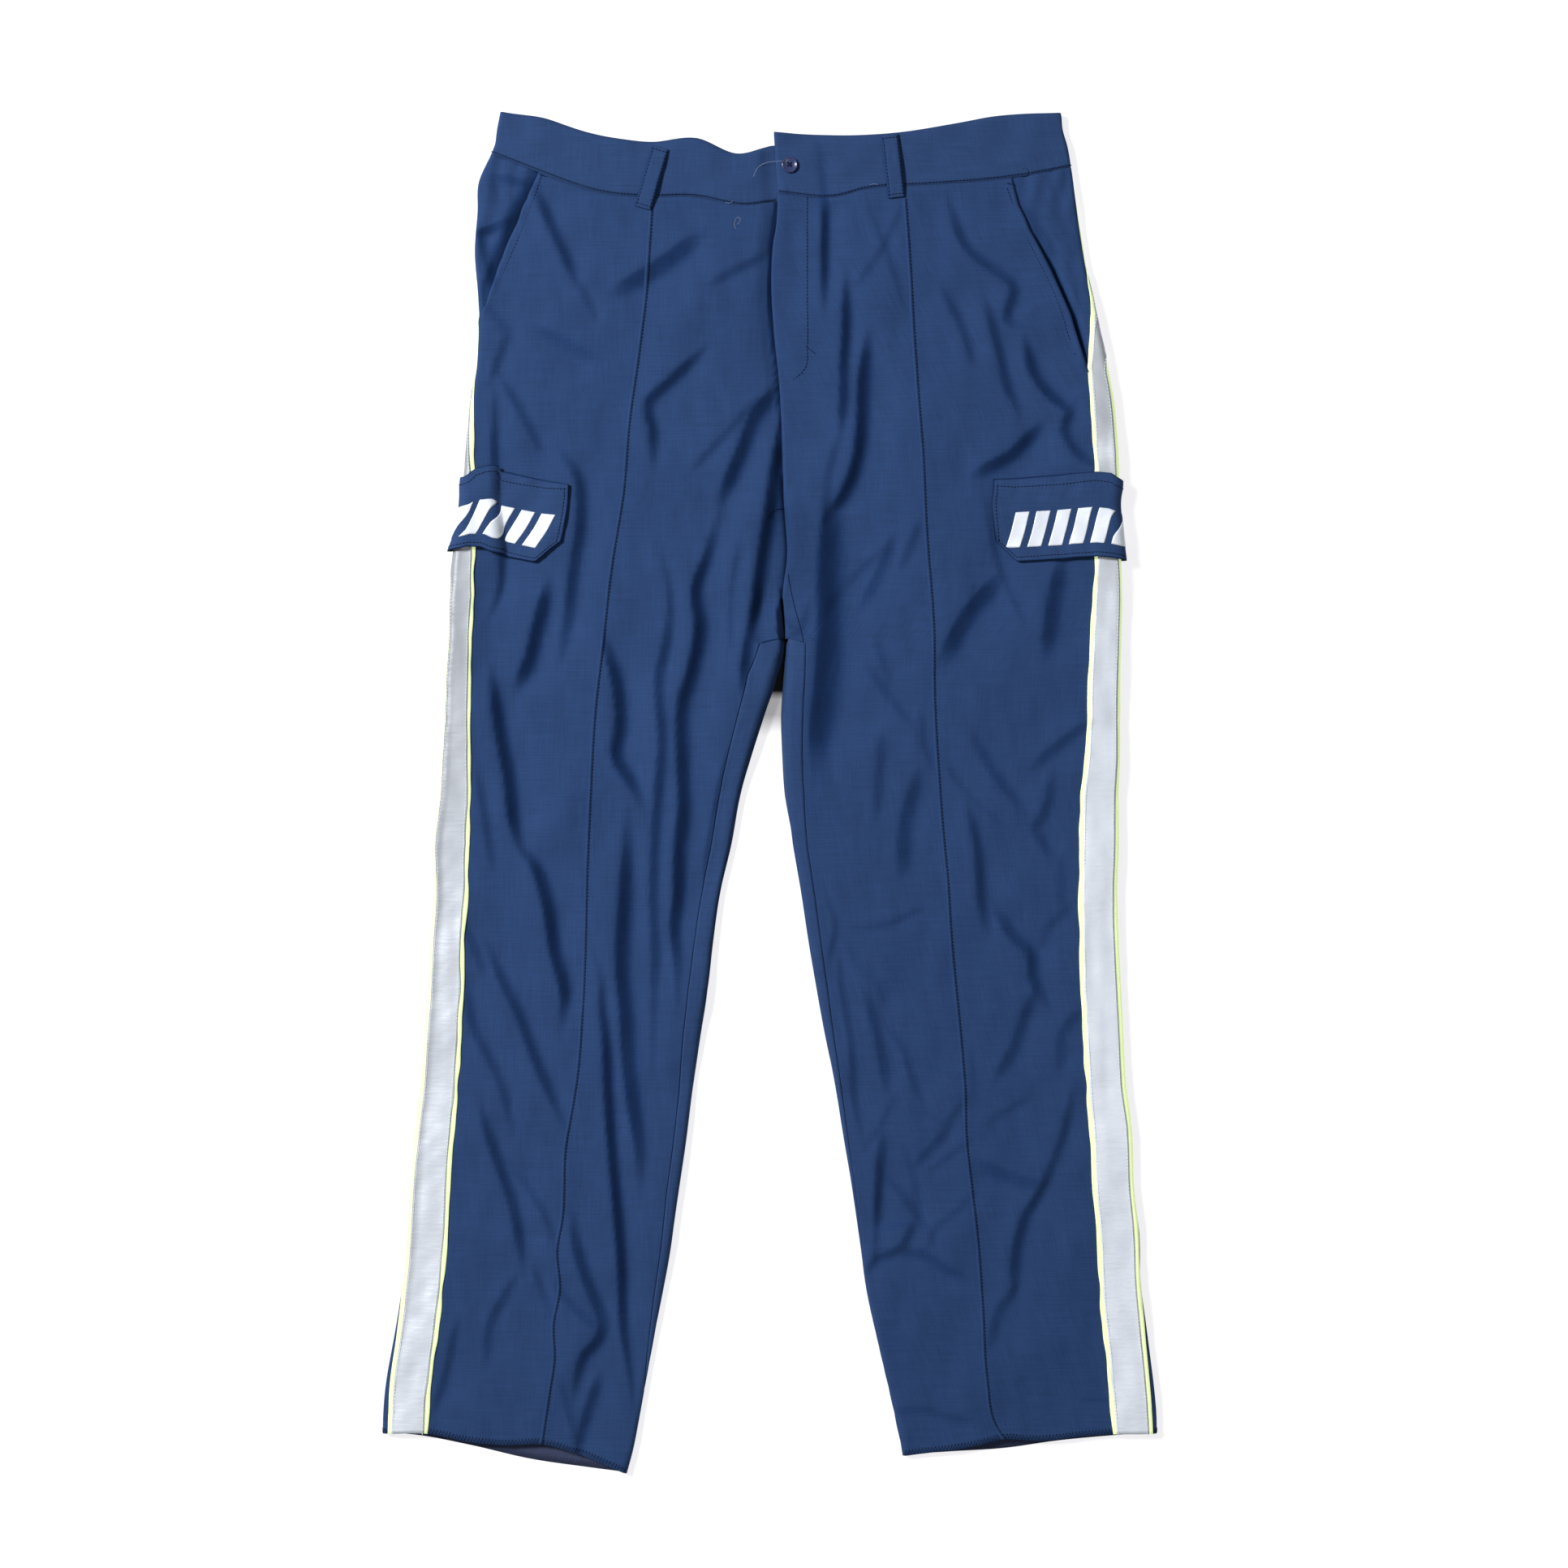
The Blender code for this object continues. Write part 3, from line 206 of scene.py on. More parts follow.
# Folds: depth (less than 0 for a trough), half width, and the path
Fold = namedtuple("Fold", "depth half_width path")
FOLDS = {
    "right": (
        Fold(-2.6, 8, ((-183, 472), (-173, 449), (-161, 423), (-155, 407))),
        Fold(-2.4, 13, ((-60, 436), (-85, 417), (-117, 398))),
        Fold(-1.6, 7, ((-11, 421), (-39, 406))),
        Fold(-3.0, 8, ((-55, 347), (-79, 324), (-96, 307), (-92, 284), (-92, 264))),
        Fold(-1.8, 5, ((-13, 308), (-37, 281), (-58, 258))),
        Fold(-3.2, 11, ((3, 317), (-9, 302), (-21, 273), (-37, 234))),
        Fold(-5.0, 11, ((9, 292), (2, 234), (-2, 209), (-7, 177), (-11, 152), (-14, 132))),
        Fold(-2.0, 6, ((-221, 381), (-208, 362), (-213, 345), (-219, 328))),
        Fold(-3.4, 6, ((-217, 319), (-217, 241), (-217, 148), (-221, 140))),
        Fold(-2.0, 7, ((-208, 321), (-196, 300), (-183, 275))),
        Fold(-2.6, 9, ((-166, 271), (-153, 253), (-149, 218), (-153, 188), (-160, 135), (-166, 103))),
        Fold(-1.4, 9, ((-179, 364), (-142, 345))),
        Fold(-1.7, 7, ((-231, 441), (-218, 446), (-203, 452))),
        Fold(-1.3, 7, ((-210, 485), (-188, 480))),
        Fold(-1.5, 6, ((-227, 436), (-224, 421), (-219, 406))),
        Fold(-3.4, 11, ((-176, 159), (-183, 131), (-189, 106), (-197, 88))),
        Fold(-3.8, 10, ((-219, 93), (-213, 51), (-206, 12), (-202, -24), (-197, -43))),
        Fold(-3.8, 10, ((-197, -43), (-185, -58), (-176, -85), (-169, -129), (-162, -156),
            (-164, -181))),
        Fold(-2.0, 6, ((-229, 8), (-224, -24), (-219, -56))),
        Fold(-3.4, 10, ((-130, 120), (-121, 88), (-118, 51), (-121, 29), (-108, 6), (-101, -9))),
        Fold(-4.0, 12, ((-112, -13), (-113, -45), (-115, -90), (-117, -138), (-114, -173),
            (-112, -209), (-108, -246), (-103, -282), (-102, -317))),
        Fold(-2.8, 8, ((-92, 201), (-81, 172), (-81, 122), (-87, 95), (-85, 40), (-89, -13),
            (-92, -90), (-91, -120), (-92, -173), (-93, -228))),
        Fold(-4.6, 11, ((-37, 230), (-49, 188), (-58, 161), (-55, 131), (-62, 93), (-68, 72),
            (-69, 29), (-68, -13), (-71, -45), (-73, -90), (-75, -102), (-73, -134), (-73, -173))),
        Fold(-1.8, 5, ((-24, 199), (-31, 152), (-32, 114))),
        Fold(-3.0, 8, ((-9, 156), (-18, 114), (-21, 88))),
        Fold(-2.0, 6, ((-34, 29), (-45, -24), (-52, -67))),
        Fold(-3.0, 8, ((-224, -118), (-210, -150), (-197, -177), (-188, -202), (-176, -231),
            (-162, -264))),
        Fold(-2.2, 7, ((-239, -152), (-233, -188), (-222, -208), (-212, -231), (-204, -264))),
        Fold(-3.0, 8, ((-228, -249), (-221, -273), (-212, -298), (-201, -332), (-199, -344),
            (-194, -378))),
        Fold(-2.0, 6, ((-202, -298), (-190, -314), (-178, -333), (-171, -352))),
        Fold(-4.4, 8, ((-142, -122), (-135, -138), (-132, -173), (-129, -200), (-128, -228),
            (-126, -264), (-123, -300), (-120, -333), (-117, -374), (-115, -429), (-111, -455),
            (-107, -494))),
        Fold(-3.0, 9, ((-156, -332), (-152, -360), (-144, -386), (-135, -408), (-132, -419),
            (-136, -433), (-146, -443), (-151, -458), (-154, -477))),
        Fold(-2.4, 7, ((-166, -393), (-154, -407), (-140, -419))),
        Fold(-2.6, 8, ((-137, -467), (-144, -489), (-151, -515))),
        Fold(-1.8, 7, ((-204, -388), (-214, -405), (-221, -420), (-224, -446))),
        Fold(-1.6, 5, ((-145, 391), (-141, 382))),
        Fold(-1.8, 5, ((-5, 116), (8, 101))),
        Fold(-1.6, 5, ((2, 458), (1, 408), (2, 358))),
        Fold(-1.6, 6, ((-238, -111), (-228, -136))),
        Fold(-1.8, 5, ((-185, -380), (-180, -392), (-176, -403))),
        Fold(-1.8, 6, ((-163, -474), (-155, -503))),
        Fold(-1.8, 6, ((-249, -426), (-257, -463), (-263, -481))),
    ),
    "left": (
        Fold(2.4, 7, ((14, 228), (9, 172))),
        Fold(-3.6, 7, ((37, 512), (40, 490), (43, 463), (43, 421), (43, 386))),
        Fold(-3.4, 8, ((60, 402), (60, 362), (58, 336), (58, 315), (56, 285))),
        Fold(-4.8, 11, ((77, 358), (74, 326), (73, 294), (69, 262), (58, 234), (46, 218))),
        Fold(-2.2, 8, ((141, 466), (156, 429), (175, 413), (192, 400), (188, 372), (207, 366))),
        Fold(-2.4, 8, ((172, 381), (181, 347), (188, 319), (194, 305))),
        Fold(-2.8, 9, ((203, 351), (209, 330), (222, 313), (235, 302))),
        Fold(-2.2, 8, ((238, 302), (232, 287), (238, 273), (253, 260))),
        Fold(-2.6, 10, ((209, 285), (190, 266), (169, 255))),
        Fold(-5.6, 21, ((49, 236), (47, 199), (46, 150), (46, 122), (43, 81), (39, 49), (37, 10))),
        Fold(-2.6, 5, ((9, 139), (15, 132), (24, 127))),
        Fold(-2.0, 5, ((28, 140), (24, 128), (13, 119))),
        Fold(-2.2, 8, ((94, 195), (86, 173), (75, 152))),
        Fold(-2.8, 14, ((177, 165), (156, 140), (139, 109))),
        Fold(-2.0, 5, ((171, 228), (179, 186), (190, 156), (201, 133))),
        Fold(-2.4, 13, ((228, 175), (224, 152), (219, 114))),
        Fold(-2.0, 7, ((80, 95), (107, 59))),
        Fold(-2.6, 12, ((116, 10), (107, -24), (104, -60))),
        Fold(-2.0, 8, ((88, 40), (84, -13))),
        Fold(-3.4, 8, ((158, -15), (164, -45), (167, -86), (171, -107))),
        Fold(-2.4, 8, ((164, 38), (179, 12), (196, -9))),
        Fold(-2.2, 8, ((247, 52), (228, 38), (215, 27))),
        Fold(-2.4, 8, ((222, 8), (217, -15), (209, -28), (219, -45))),
        Fold(-2.6, 6, ((55, -128), (56, -152), (60, -173), (64, -197), (67, -244), (73, -273))),
        Fold(-2.8, 8, ((77, -163), (84, -188), (89, -211), (92, -231))),
        Fold(-2.2, 7, ((95, -188), (107, -205), (112, -225), (117, -239))),
        Fold(-3.2, 8, ((89, -275), (86, -303), (85, -335))),
        Fold(-2.4, 7, ((93, -306), (107, -319), (117, -335))),
        Fold(-2.2, 7, ((137, -269), (121, -287))),
        Fold(-3.4, 9, ((180, -94), (189, -109), (199, -120), (204, -124), (208, -148), (217, -165))),
        Fold(-2.4, 9, ((208, -160), (199, -182), (193, -201), (181, -221))),
        Fold(-2.0, 8, ((242, -175), (231, -188), (229, -212))),
        Fold(-2.8, 7, ((238, -241), (232, -269), (221, -297), (208, -325))),
        Fold(-2.2, 11, ((171, -295), (189, -303), (208, -308))),
        Fold(-2.8, 7, ((84, -346), (112, -340), (102, -360), (83, -369), (76, -378))),
        Fold(-2.8, 8, ((105, -362), (121, -364), (135, -373), (149, -381))),
        Fold(-3.4, 9, ((216, -312), (204, -330), (195, -358), (193, -388))),
        Fold(-2.2, 8, ((192, -394), (181, -408), (176, -428))),
        Fold(1.4, 6, ((12, 228), (7, 172))),
        Fold(-1.8, 6, ((52, 273), (46, 252), (43, 218))),
        Fold(-1.2, 5, ((79, 458), (94, 422), (105, 387))),
        Fold(-1.2, 5, ((102, 458), (87, 427), (71, 404))),
        Fold(-1.8, 7, ((139, 392), (151, 368), (158, 345))),
        Fold(-1.6, 6, ((204, 457), (219, 429))),
        Fold(-1.6, 6, ((114, 203), (107, 186))),
        Fold(-1.8, 6, ((80, 184), (64, 169), (50, 150))),
        Fold(-1.6, 6, ((86, 114), (92, 97))),
        Fold(-1.8, 6, ((120, 57), (122, 38), (126, 27))),
        Fold(-1.8, 4, ((137, 25), (156, -1), (171, -15), (188, -28))),
        Fold(-1.4, 6, ((230, -56), (230, -85))),
        Fold(-1.8, 5, ((46, -86), (52, -104), (48, -126))),
        Fold(-2.0, 4, ((71, -106), (91, -104), (114, -94))),
        Fold(-1.6, 5, ((65, -128), (75, -145))),
        Fold(-1.6, 5, ((80, -143), (88, -158))),
        Fold(-1.6, 5, ((125, -214), (148, -227))),
        Fold(-1.8, 5, ((123, -250), (137, -261), (151, -246))),
        Fold(-1.8, 5, ((95, -246), (86, -265), (78, -275))),
        Fold(-2.0, 5, ((107, -285), (114, -308), (117, -325))),
        Fold(-1.8, 5, ((153, -278), (133, -293))),
        Fold(-1.6, 6, ((234, -92), (221, -104), (217, -115))),
        Fold(-1.6, 6, ((195, -246), (180, -255))),
        Fold(-1.6, 5, ((159, -209), (160, -250))),
        Fold(-2.0, 5, ((86, -309), (84, -344), (83, -367))),
        Fold(-2.0, 5, ((98, -312), (114, -332), (124, -342))),
        Fold(-1.8, 5, ((156, -321), (144, -333), (130, -344), (126, -356))),
        Fold(-1.8, 6, ((100, -488), (123, -487), (142, -493), (156, -495))),
        Fold(-1.4, 5, ((256, -479), (265, -479))),
    ),
}

# The stitched crease down each front, from the waist to the hem
CREASES = {
    "right": (
        (-94, 461), (-99, 390), (-104, 348), (-112, 290), (-116, 241), (-126, 177), (-133, 114),
        (-139, 61), (-142, 8), (-145, -56), (-147, -129), (-149, -173), (-153, -224), (-158, -255),
        (-162, -278), (-165, -337), (-169, -360), (-167, -392), (-172, -421), (-171, -446),
        (-175, -474), (-181, -514),
    ),
    "left": (
        (106, 468), (110, 411), (113, 358), (116, 315), (120, 262), (122, 218), (124, 188),
        (128, 135), (129, 72), (132, 19), (136, -35), (139, -66), (142, -113), (146, -156),
        (150, -197), (153, -235), (154, -273), (158, -309), (163, -353), (167, -408), (170, -460),
        (177, -499), (185, -512),
    ),
}

# The form of a fold: a low ridge, a crisp crest, a straight wall away from the light, a softer foot
# and a slow way back up. Distances across it are shares of its width.
FADE_OUT = 16.0
REACH = 5.0
FOLD_DEPTH = 1.6
FOLD_WIDTH = 0.8
DEPTH_BY_WIDTH = ((5, 0.5), (10, 1.1))
CREST_AT = -0.55
CREST_SHARPNESS = 6.0
FOOT_SHARPNESS = 3.5
SIDE_REACH = 2.2
RIDGE_SHARE = 0.45
RIDGE_FADE = 1.5
FOOT_FADE = 1.6
END_WIDTH = 0.45
TAPER = 1.7
PAST_END = 0.4999
HIGHEST_RIDGE = 5.0
AWAY_FROM_LIGHT = (0.88, -0.47)
FOLD_SHARE = {
    "right": ((-540, 0.85), (-350, 0.85), (-100, 0.92), (100, 1.0)),
    "left": ((-540, 0.62), (-60, 0.62), (40, 0.7), (110, 0.85), (170, 1.0)),
}

# The painted shade on a fold's wall: the depth that gives all of it, and how softly it starts and ends
FULL_SHADE_SIZE = 5.0
SHADE_START = 0.22
SHADE_END = 0.9
SHADE_PAST_FOOT = 0.7

# Low unevenness all over a leg: height, wavelength, seed, and how far it is drawn out down the leg
UNEVEN = ((0.75, 62.0, 5, 1.8), (0.27, 24.0, 11, 1.5))


def smooth(value):
    """0 below 0, 1 above 1, and a smooth step between."""
    value = np.clip(value, 0.0, 1.0)
    return value * value * (3.0 - 2.0 * value)


def read(table, at):
    """A table of places and values, read at the places given, with straight lines between."""
    return np.interp(at, *np.array(table).T)


def curve_through(points, at):
    """A smooth curve through a few points, read at the places given."""
    x, y = np.array(points, dtype=float).T
    slope = np.gradient(y, x)
    index = np.clip(np.searchsorted(x, at, side="right") - 1, 0, len(x) - 2)
    step = x[index + 1] - x[index]
    t = np.clip((at - x[index]) / step, 0.0, 1.0)
    start = (1 + 2 * t) * (1 - t) ** 2 * y[index] + t * (1 - t) ** 2 * step * slope[index]
    end = t**2 * (3 - 2 * t) * y[index + 1] - t**2 * (1 - t) * step * slope[index + 1]
    return start + end


def column(half, name, row):
    """One column of a half's section table, read at whole or fractional section numbers."""
    values = [getattr(section, name) for section in SECTIONS[half]]
    numbers = np.arange(len(values), dtype=float)
    if name == "inseam":
        numbers = np.insert(numbers, CROTCH + 1, INSEAM_BEND)
        values = np.insert(values, CROTCH + 1, INSEAM_IN[half])
    if name in ("inseam", "pocket", "tuck", "tape_in"):
        return np.interp(row, numbers, values)
    return curve_through(np.stack([numbers, values], axis=1), np.asarray(row, float))


def underside_lift(half, row, under):
    """How high the back lies above the floor, so that tape and flap fit beneath it."""
    tape = TAPE_STACK * (1.0 - smooth((under - column(half, "tuck", row)) / LIFT_FADE))
    first, last = FLAP_ROWS
    flap_share = np.interp(row, (first - 1, first, last, last + 1), (0, 1, 1, 0))
    seam = (column(half, "tape_in", row) - column(half, "tuck", row)) / 2
    flap_lift = flap_clearance(np.abs(under + seam)) + FLAP_CLOTH + 0.3
    flap_lift = flap_lift * (1.0 - smooth((under - FLAP_LIFT_END) / LIFT_FADE))
    return tape * (1.0 - flap_share) + np.maximum(tape, flap_lift) * flap_share


def flap_clearance(distance):
    """How far the flap's inner face stands off the leg, by the distance from the side seam."""
    share = smooth((distance - FLAP_OVER_TAPE) / FLAP_SETTLE)
    return (TAPE_STACK + 0.4) * (1.0 - share) + FLAP_END_GAP * share


def measures(half, row):
    """The worked out sizes of the sections at these section numbers."""
    found = {name: column(half, name, row) for name in Section._fields}
    side = -1.0 if half == "right" else 1.0
    centre_gap = np.where(row < CROTCH - 0.5, SEAM_GAP / 2, SEAM_GAP)
    found["inner_x"] = found["inner_x"] + np.where(row <= CROTCH, side * centre_gap, 0.0)
    across_x = found["outer_x"] - found["inner_x"]
    across_y = found["outer_y"] - found["inner_y"]
    found["length"] = np.hypot(across_x, across_y)
    found["ux"] = across_x / found["length"]
    found["uy"] = across_y / found["length"]
    found["outer_radius"] = (found["edge"] - underside_lift(half, row, 0.0)) / 2
    found["closed"] = np.clip(row - CROTCH + 1, 0.0, 1.0)
    found["inner_radius"] = INNER_EDGE_RADIUS * found["closed"]
    quarter = math.pi / 2
    found["outer_arc"] = quarter * found["outer_radius"]
    found["inner_arc"] = quarter * found["inner_radius"]
    flat = found["length"] - found["outer_radius"] - found["inner_radius"]
    found["girth"] = found["outer_arc"] + flat + found["inner_arc"]
    return found


def arc_of(distance, radius):
    """Arc length from a round edge to the point this far in from it, seen from above."""
    inside = np.clip(1.0 - distance / radius, -1.0, 1.0)
    round_part = radius * np.arccos(inside)
    beyond = distance + (math.pi / 2 - 1.0) * radius
    arc = np.where(distance < radius, round_part, beyond)
    return np.where(distance < 0, distance, arc)


def tape_edges(half, row):
    """Arc lengths of the tape's front edge, the side seam under it, and its back edge."""
    found = measures(half, row)
    front = arc_of(found["tape_in"], found["outer_radius"])
    back = -found["tuck"]
    return front, (front + back) / 2, back


def inseam_ends(half, row):
    """Arc lengths where the front starts and where the back ends, at the centre or the inseam."""
    found = measures(half, row)
    inseam = np.sign(found["inseam"]) * arc_of(np.abs(found["inseam"]), INNER_EDGE_RADIUS)
    start = found["girth"] - found["inner_arc"] * (1.0 - found["closed"]) - inseam
    end = -(found["girth"] - found["inner_arc"] * (1.0 - found["closed"])) - inseam
    return start, end


def sag_of(half, row, share, on_top):
    """Distance of the section below its straight chord."""
    def curve(name):
        return curve_through(SAGS[half][name], share)

    top, seam = curve("band_top"), curve("band_seam")
    down_band = np.clip(row / BAND_SEAM, 0.0, 1.0)
    waist = (top * (1 - down_band) + seam * down_band) * (1 - smooth((row - BAND_SEAM) / SAG_FADE))
    hem = np.where(on_top, curve("front_hem"), curve("back_hem"))
    return waist + hem * smooth((row - HEM + HEM_FADE) / HEM_FADE)


def path_distance(x, y, path):
    """Signed distance to a path, and the share of the way along it, of points seen from above."""
    points = np.array(path, dtype=float)
    steps = np.diff(points, axis=0)
    lengths = np.hypot(steps[:, 0], steps[:, 1])
    before = np.concatenate([[0.0], np.cumsum(lengths)])
    nearest = np.full(np.shape(x), 1e9)
    signed = np.full(np.shape(x), 1e9)
    along = np.zeros(np.shape(x))
    for start, step, length, passed in zip(points[:-1], steps, lengths, before[:-1]):
        across_x, across_y = x - start[0], y - start[1]
        share = np.clip((across_x * step[0] + across_y * step[1]) / length**2, 0.0, 1.0)
        gap = np.hypot(across_x - share * step[0], across_y - share * step[1])
        closer = gap < nearest
        side = np.sign(step[0] * across_y - step[1] * across_x)
        nearest = np.where(closer, gap, nearest)
        signed = np.where(closer, gap * side, signed)
        along = np.where(closer, (passed + share * length) / before[-1], along)
    return signed, along


def rounded_path(path, spacing=7.0):
    """A path with its corners rounded, as points at about this spacing."""
    points = np.array(path, dtype=float)
    steps = np.hypot(*np.diff(points, axis=0).T)
    along = np.concatenate([[0.0], np.cumsum(steps)])
    count = max(int(along[-1] / spacing), 2)
    at = np.linspace(0.0, along[-1], count)
    if len(points) == 2:
        return np.stack([np.interp(at, along, points[:, 0]), np.interp(at, along, points[:, 1])], 1)
    columns = [curve_through(np.stack([along, points[:, k]], 1), at) for k in (0, 1)]
    return np.stack(columns, axis=1)


def ripples(x, y, wavelength, seed, stretch=1.0):
    """A smooth field of random ripples, from -1 to 1 or so, drawn out along y by stretch."""
    chance = np.random.default_rng(seed)
    height = np.zeros(np.shape(x))
    for _ in range(14):
        angle = chance.uniform(0, math.tau)
        size = wavelength * chance.uniform(0.6, 1.7)
        phase = chance.uniform(0, math.tau)
        turns_x = math.cos(angle) * math.tau / size
        turns_y = math.sin(angle) * math.tau / size / stretch
        height += np.sin(x * turns_x + y * turns_y + phase)
    return height / 3.7


def drawn_out(path):
    """A fold's path with its ends drawn out straight, and its corners rounded."""
    points = np.array(path, dtype=float)
    first, last = points[0] - points[1], points[-1] - points[-2]
    start = points[0] + first / np.hypot(*first) * FADE_OUT
    end = points[-1] + last / np.hypot(*last) * FADE_OUT
    return rounded_path([start, *points, end])


SMOOTH_PATHS = {half: [drawn_out(fold.path) for fold in folds] for half, folds in FOLDS.items()}


def fold_shape(half, x, y):
    """Height that the folds add to the top of a leg, and how much each point lies on a fold's wall."""
    height, wall = np.zeros(np.shape(x)), np.zeros(np.shape(x))
    for fold, path in zip(FOLDS[half], SMOOTH_PATHS[half]):
        width = fold.half_width * FOLD_WIDTH
        reach = width * REACH
        low, high = path.min(axis=0) - reach, path.max(axis=0) + reach
        near = (x > low[0]) & (x < high[0]) & (y > low[1]) & (y < high[1])
        if not near.any():
            continue
        gap, along = path_distance(x[near], y[near], path)
        heading = path[-1] - path[0]
        facing = -heading[1] * AWAY_FROM_LIGHT[0] + heading[0] * AWAY_FROM_LIGHT[1]
        taper = smooth((1.0 - np.abs(2.0 * along - 1.0)) * TAPER)
        beyond = gap / (width * (END_WIDTH + (1.0 - END_WIDTH) * taper)) * (1.0 if facing > 0 else -1.0)
        past_crest = np.logaddexp(0.0, CREST_SHARPNESS * (beyond - CREST_AT)) / CREST_SHARPNESS
        past_foot = np.logaddexp(0.0, FOOT_SHARPNESS * (beyond + CREST_AT)) / FOOT_SHARPNESS
        drop = (past_crest - past_foot) / (-2.0 * CREST_AT)
        before_crest = np.clip(CREST_AT - beyond, 0.0, None)
        after_foot = np.clip(beyond + CREST_AT, 0.0, None)
        ridge = RIDGE_SHARE * (1.0 - drop) * np.exp(-((before_crest / SIDE_REACH) ** RIDGE_FADE))
        drop = drop * np.exp(-((after_foot / SIDE_REACH) ** FOOT_FADE))
        past_end = np.where(np.abs(along - 0.5) > PAST_END, np.exp(-np.abs(beyond)), 1.0)
        size = fold.depth * FOLD_DEPTH * read(DEPTH_BY_WIDTH, fold.half_width) * taper * past_end
        size = size * read(FOLD_SHARE[half], y[near])
        height[near] += size * (drop - ridge)
        starts = smooth((beyond - CREST_AT) / SHADE_START + 0.5)
        on_wall = starts * smooth((-CREST_AT - beyond) / SHADE_END + SHADE_PAST_FOOT)
        depth_share = np.clip(np.abs(size) / FULL_SHADE_SIZE, 0.0, 1.0)
        wall[near] = np.maximum(wall[near], depth_share * on_wall)
    limit = np.where(height < 0, -DEEPEST_FOLD, HIGHEST_RIDGE)
    return limit * np.tanh(height / limit), wall


def skin(half, row, arc):
    """Points on the outer face of a leg: section numbers and arc lengths in, millimetres out."""
    row, arc = np.broadcast_arrays(np.asarray(row, float), np.asarray(arc, float))
    found = measures(half, row)
    on_top = arc >= 0
    reach = np.abs(arc)
    past = (found["closed"] > 0) & (reach > found["girth"])
    on_top = np.where(past, ~on_top, on_top)
    reach = np.where(past, 2 * found["girth"] - reach, reach)

    outer_turn = np.clip(reach / found["outer_radius"], 0.0, math.pi / 2)
    flat_in = found["outer_radius"] + reach - found["outer_arc"]
    outer_in = found["outer_radius"] * (1 - np.cos(outer_turn))
    distance = np.where(reach < found["outer_arc"], outer_in, flat_in)
    radius = np.maximum(found["inner_radius"], 1e-6)
    to_inner = found["girth"] - reach
    inner_turn = np.clip(to_inner / radius, 0.0, math.pi / 2)
    near_inner = (found["closed"] > 0) & (to_inner < found["inner_arc"])
    inner_in = found["length"] - radius * (1 - np.cos(inner_turn))
    distance = np.where(near_inner, inner_in, distance)
    fullness = np.sin(outer_turn) * np.where(near_inner, np.sin(inner_turn), 1.0)

    share = np.clip(distance / found["length"], 0.0, 1.0)
    sag = sag_of(half, row, share, on_top)
    x = found["outer_x"] - found["ux"] * distance
    y = found["outer_y"] - found["uy"] * distance - sag
    from_inner = np.abs(found["length"] - distance)
    inner_thickness = np.interp(row, (0, CROTCH, HEM), INNER_THICKNESS)
    inner_pull = np.clip(1 - from_inner / BLEND_IN, 0, 1) ** 2
    outer_pull = np.clip(1 - distance / BLEND_OUT, 0, 1) ** 2
    thickness = found["mid"] + (inner_thickness - found["mid"]) * inner_pull
    thickness = thickness + (found["edge"] - found["mid"]) * outer_pull
    lift = underside_lift(half, row, distance)
    upper = (thickness + lift) / 2 + (thickness - lift) / 2 * fullness
    lower = (thickness + lift) / 2 - (thickness - lift) / 2 * fullness
    settle = smooth((row - BAND_SEAM) * 1.5) * smooth(fullness * 1.4 - 0.3)
    uneven = sum(size * ripples(x, y, *kind) for size, *kind in UNEVEN)
    upper = upper + (fold_shape(half, x, y)[0] + uneven) * settle
    above = upper - lift - LEAST_THICKNESS
    upper = lift + LEAST_THICKNESS + (above + np.hypot(above, SOFT_LIMIT)) / 2
    return np.stack([x, y, np.where(on_top, upper, lower)], axis=-1)


def off_skin(half, row, arc, clearance):
    """Points this far off the outer face of a leg, or inside it where clearance is below 0."""
    row, arc = np.broadcast_arrays(np.asarray(row, float), np.asarray(arc, float))
    found = measures(half, row)
    step = skin(half, row, arc + PROBE) - skin(half, row, arc - PROBE)
    inwards = -step[..., 0] * found["ux"] - step[..., 1] * found["uy"]
    rise = step[..., 2]
    size = np.maximum(np.hypot(inwards, rise), 1e-6)
    normal = np.stack([rise * found["ux"], rise * found["uy"], inwards], axis=-1) / size[..., None]
    return skin(half, row, arc) + normal * np.broadcast_to(clearance, row.shape)[..., None]


def fine_rows(half, first, last, step):
    """Section numbers from first to last, about step millimetres apart down the outer edge."""
    rows = [float(first)]
    for number in range(int(first), int(last)):
        upper, lower = SECTIONS[half][number], SECTIONS[half][number + 1]
        count = max(round(abs(upper.outer_y - lower.outer_y) / step), 1)
        rows += [number + (k + 1) / count for k in range(count)]
    if first < INSEAM_BEND < last:
        rows = np.union1d(rows, INSEAM_BEND)
    return np.array(rows)


def across(start, end, count, dense_at, reach=9.0, extra=1.6):
    """Arc lengths from start to end, closer together near the round edges, one list a row."""
    steps = np.linspace(0.0, 1.0, 500)
    rows = []
    for index in range(len(start)):
        arcs = start[index] + (end[index] - start[index]) * steps
        weight = np.ones_like(arcs)
        for edge in dense_at[index]:
            weight += extra * np.exp(-(((arcs - edge) / reach) ** 2))
        total = np.concatenate([[0.0], np.cumsum((weight[1:] + weight[:-1]) / 2)])
        rows.append(np.interp(np.linspace(0, total[-1], count), total, arcs))
    return np.array(rows)


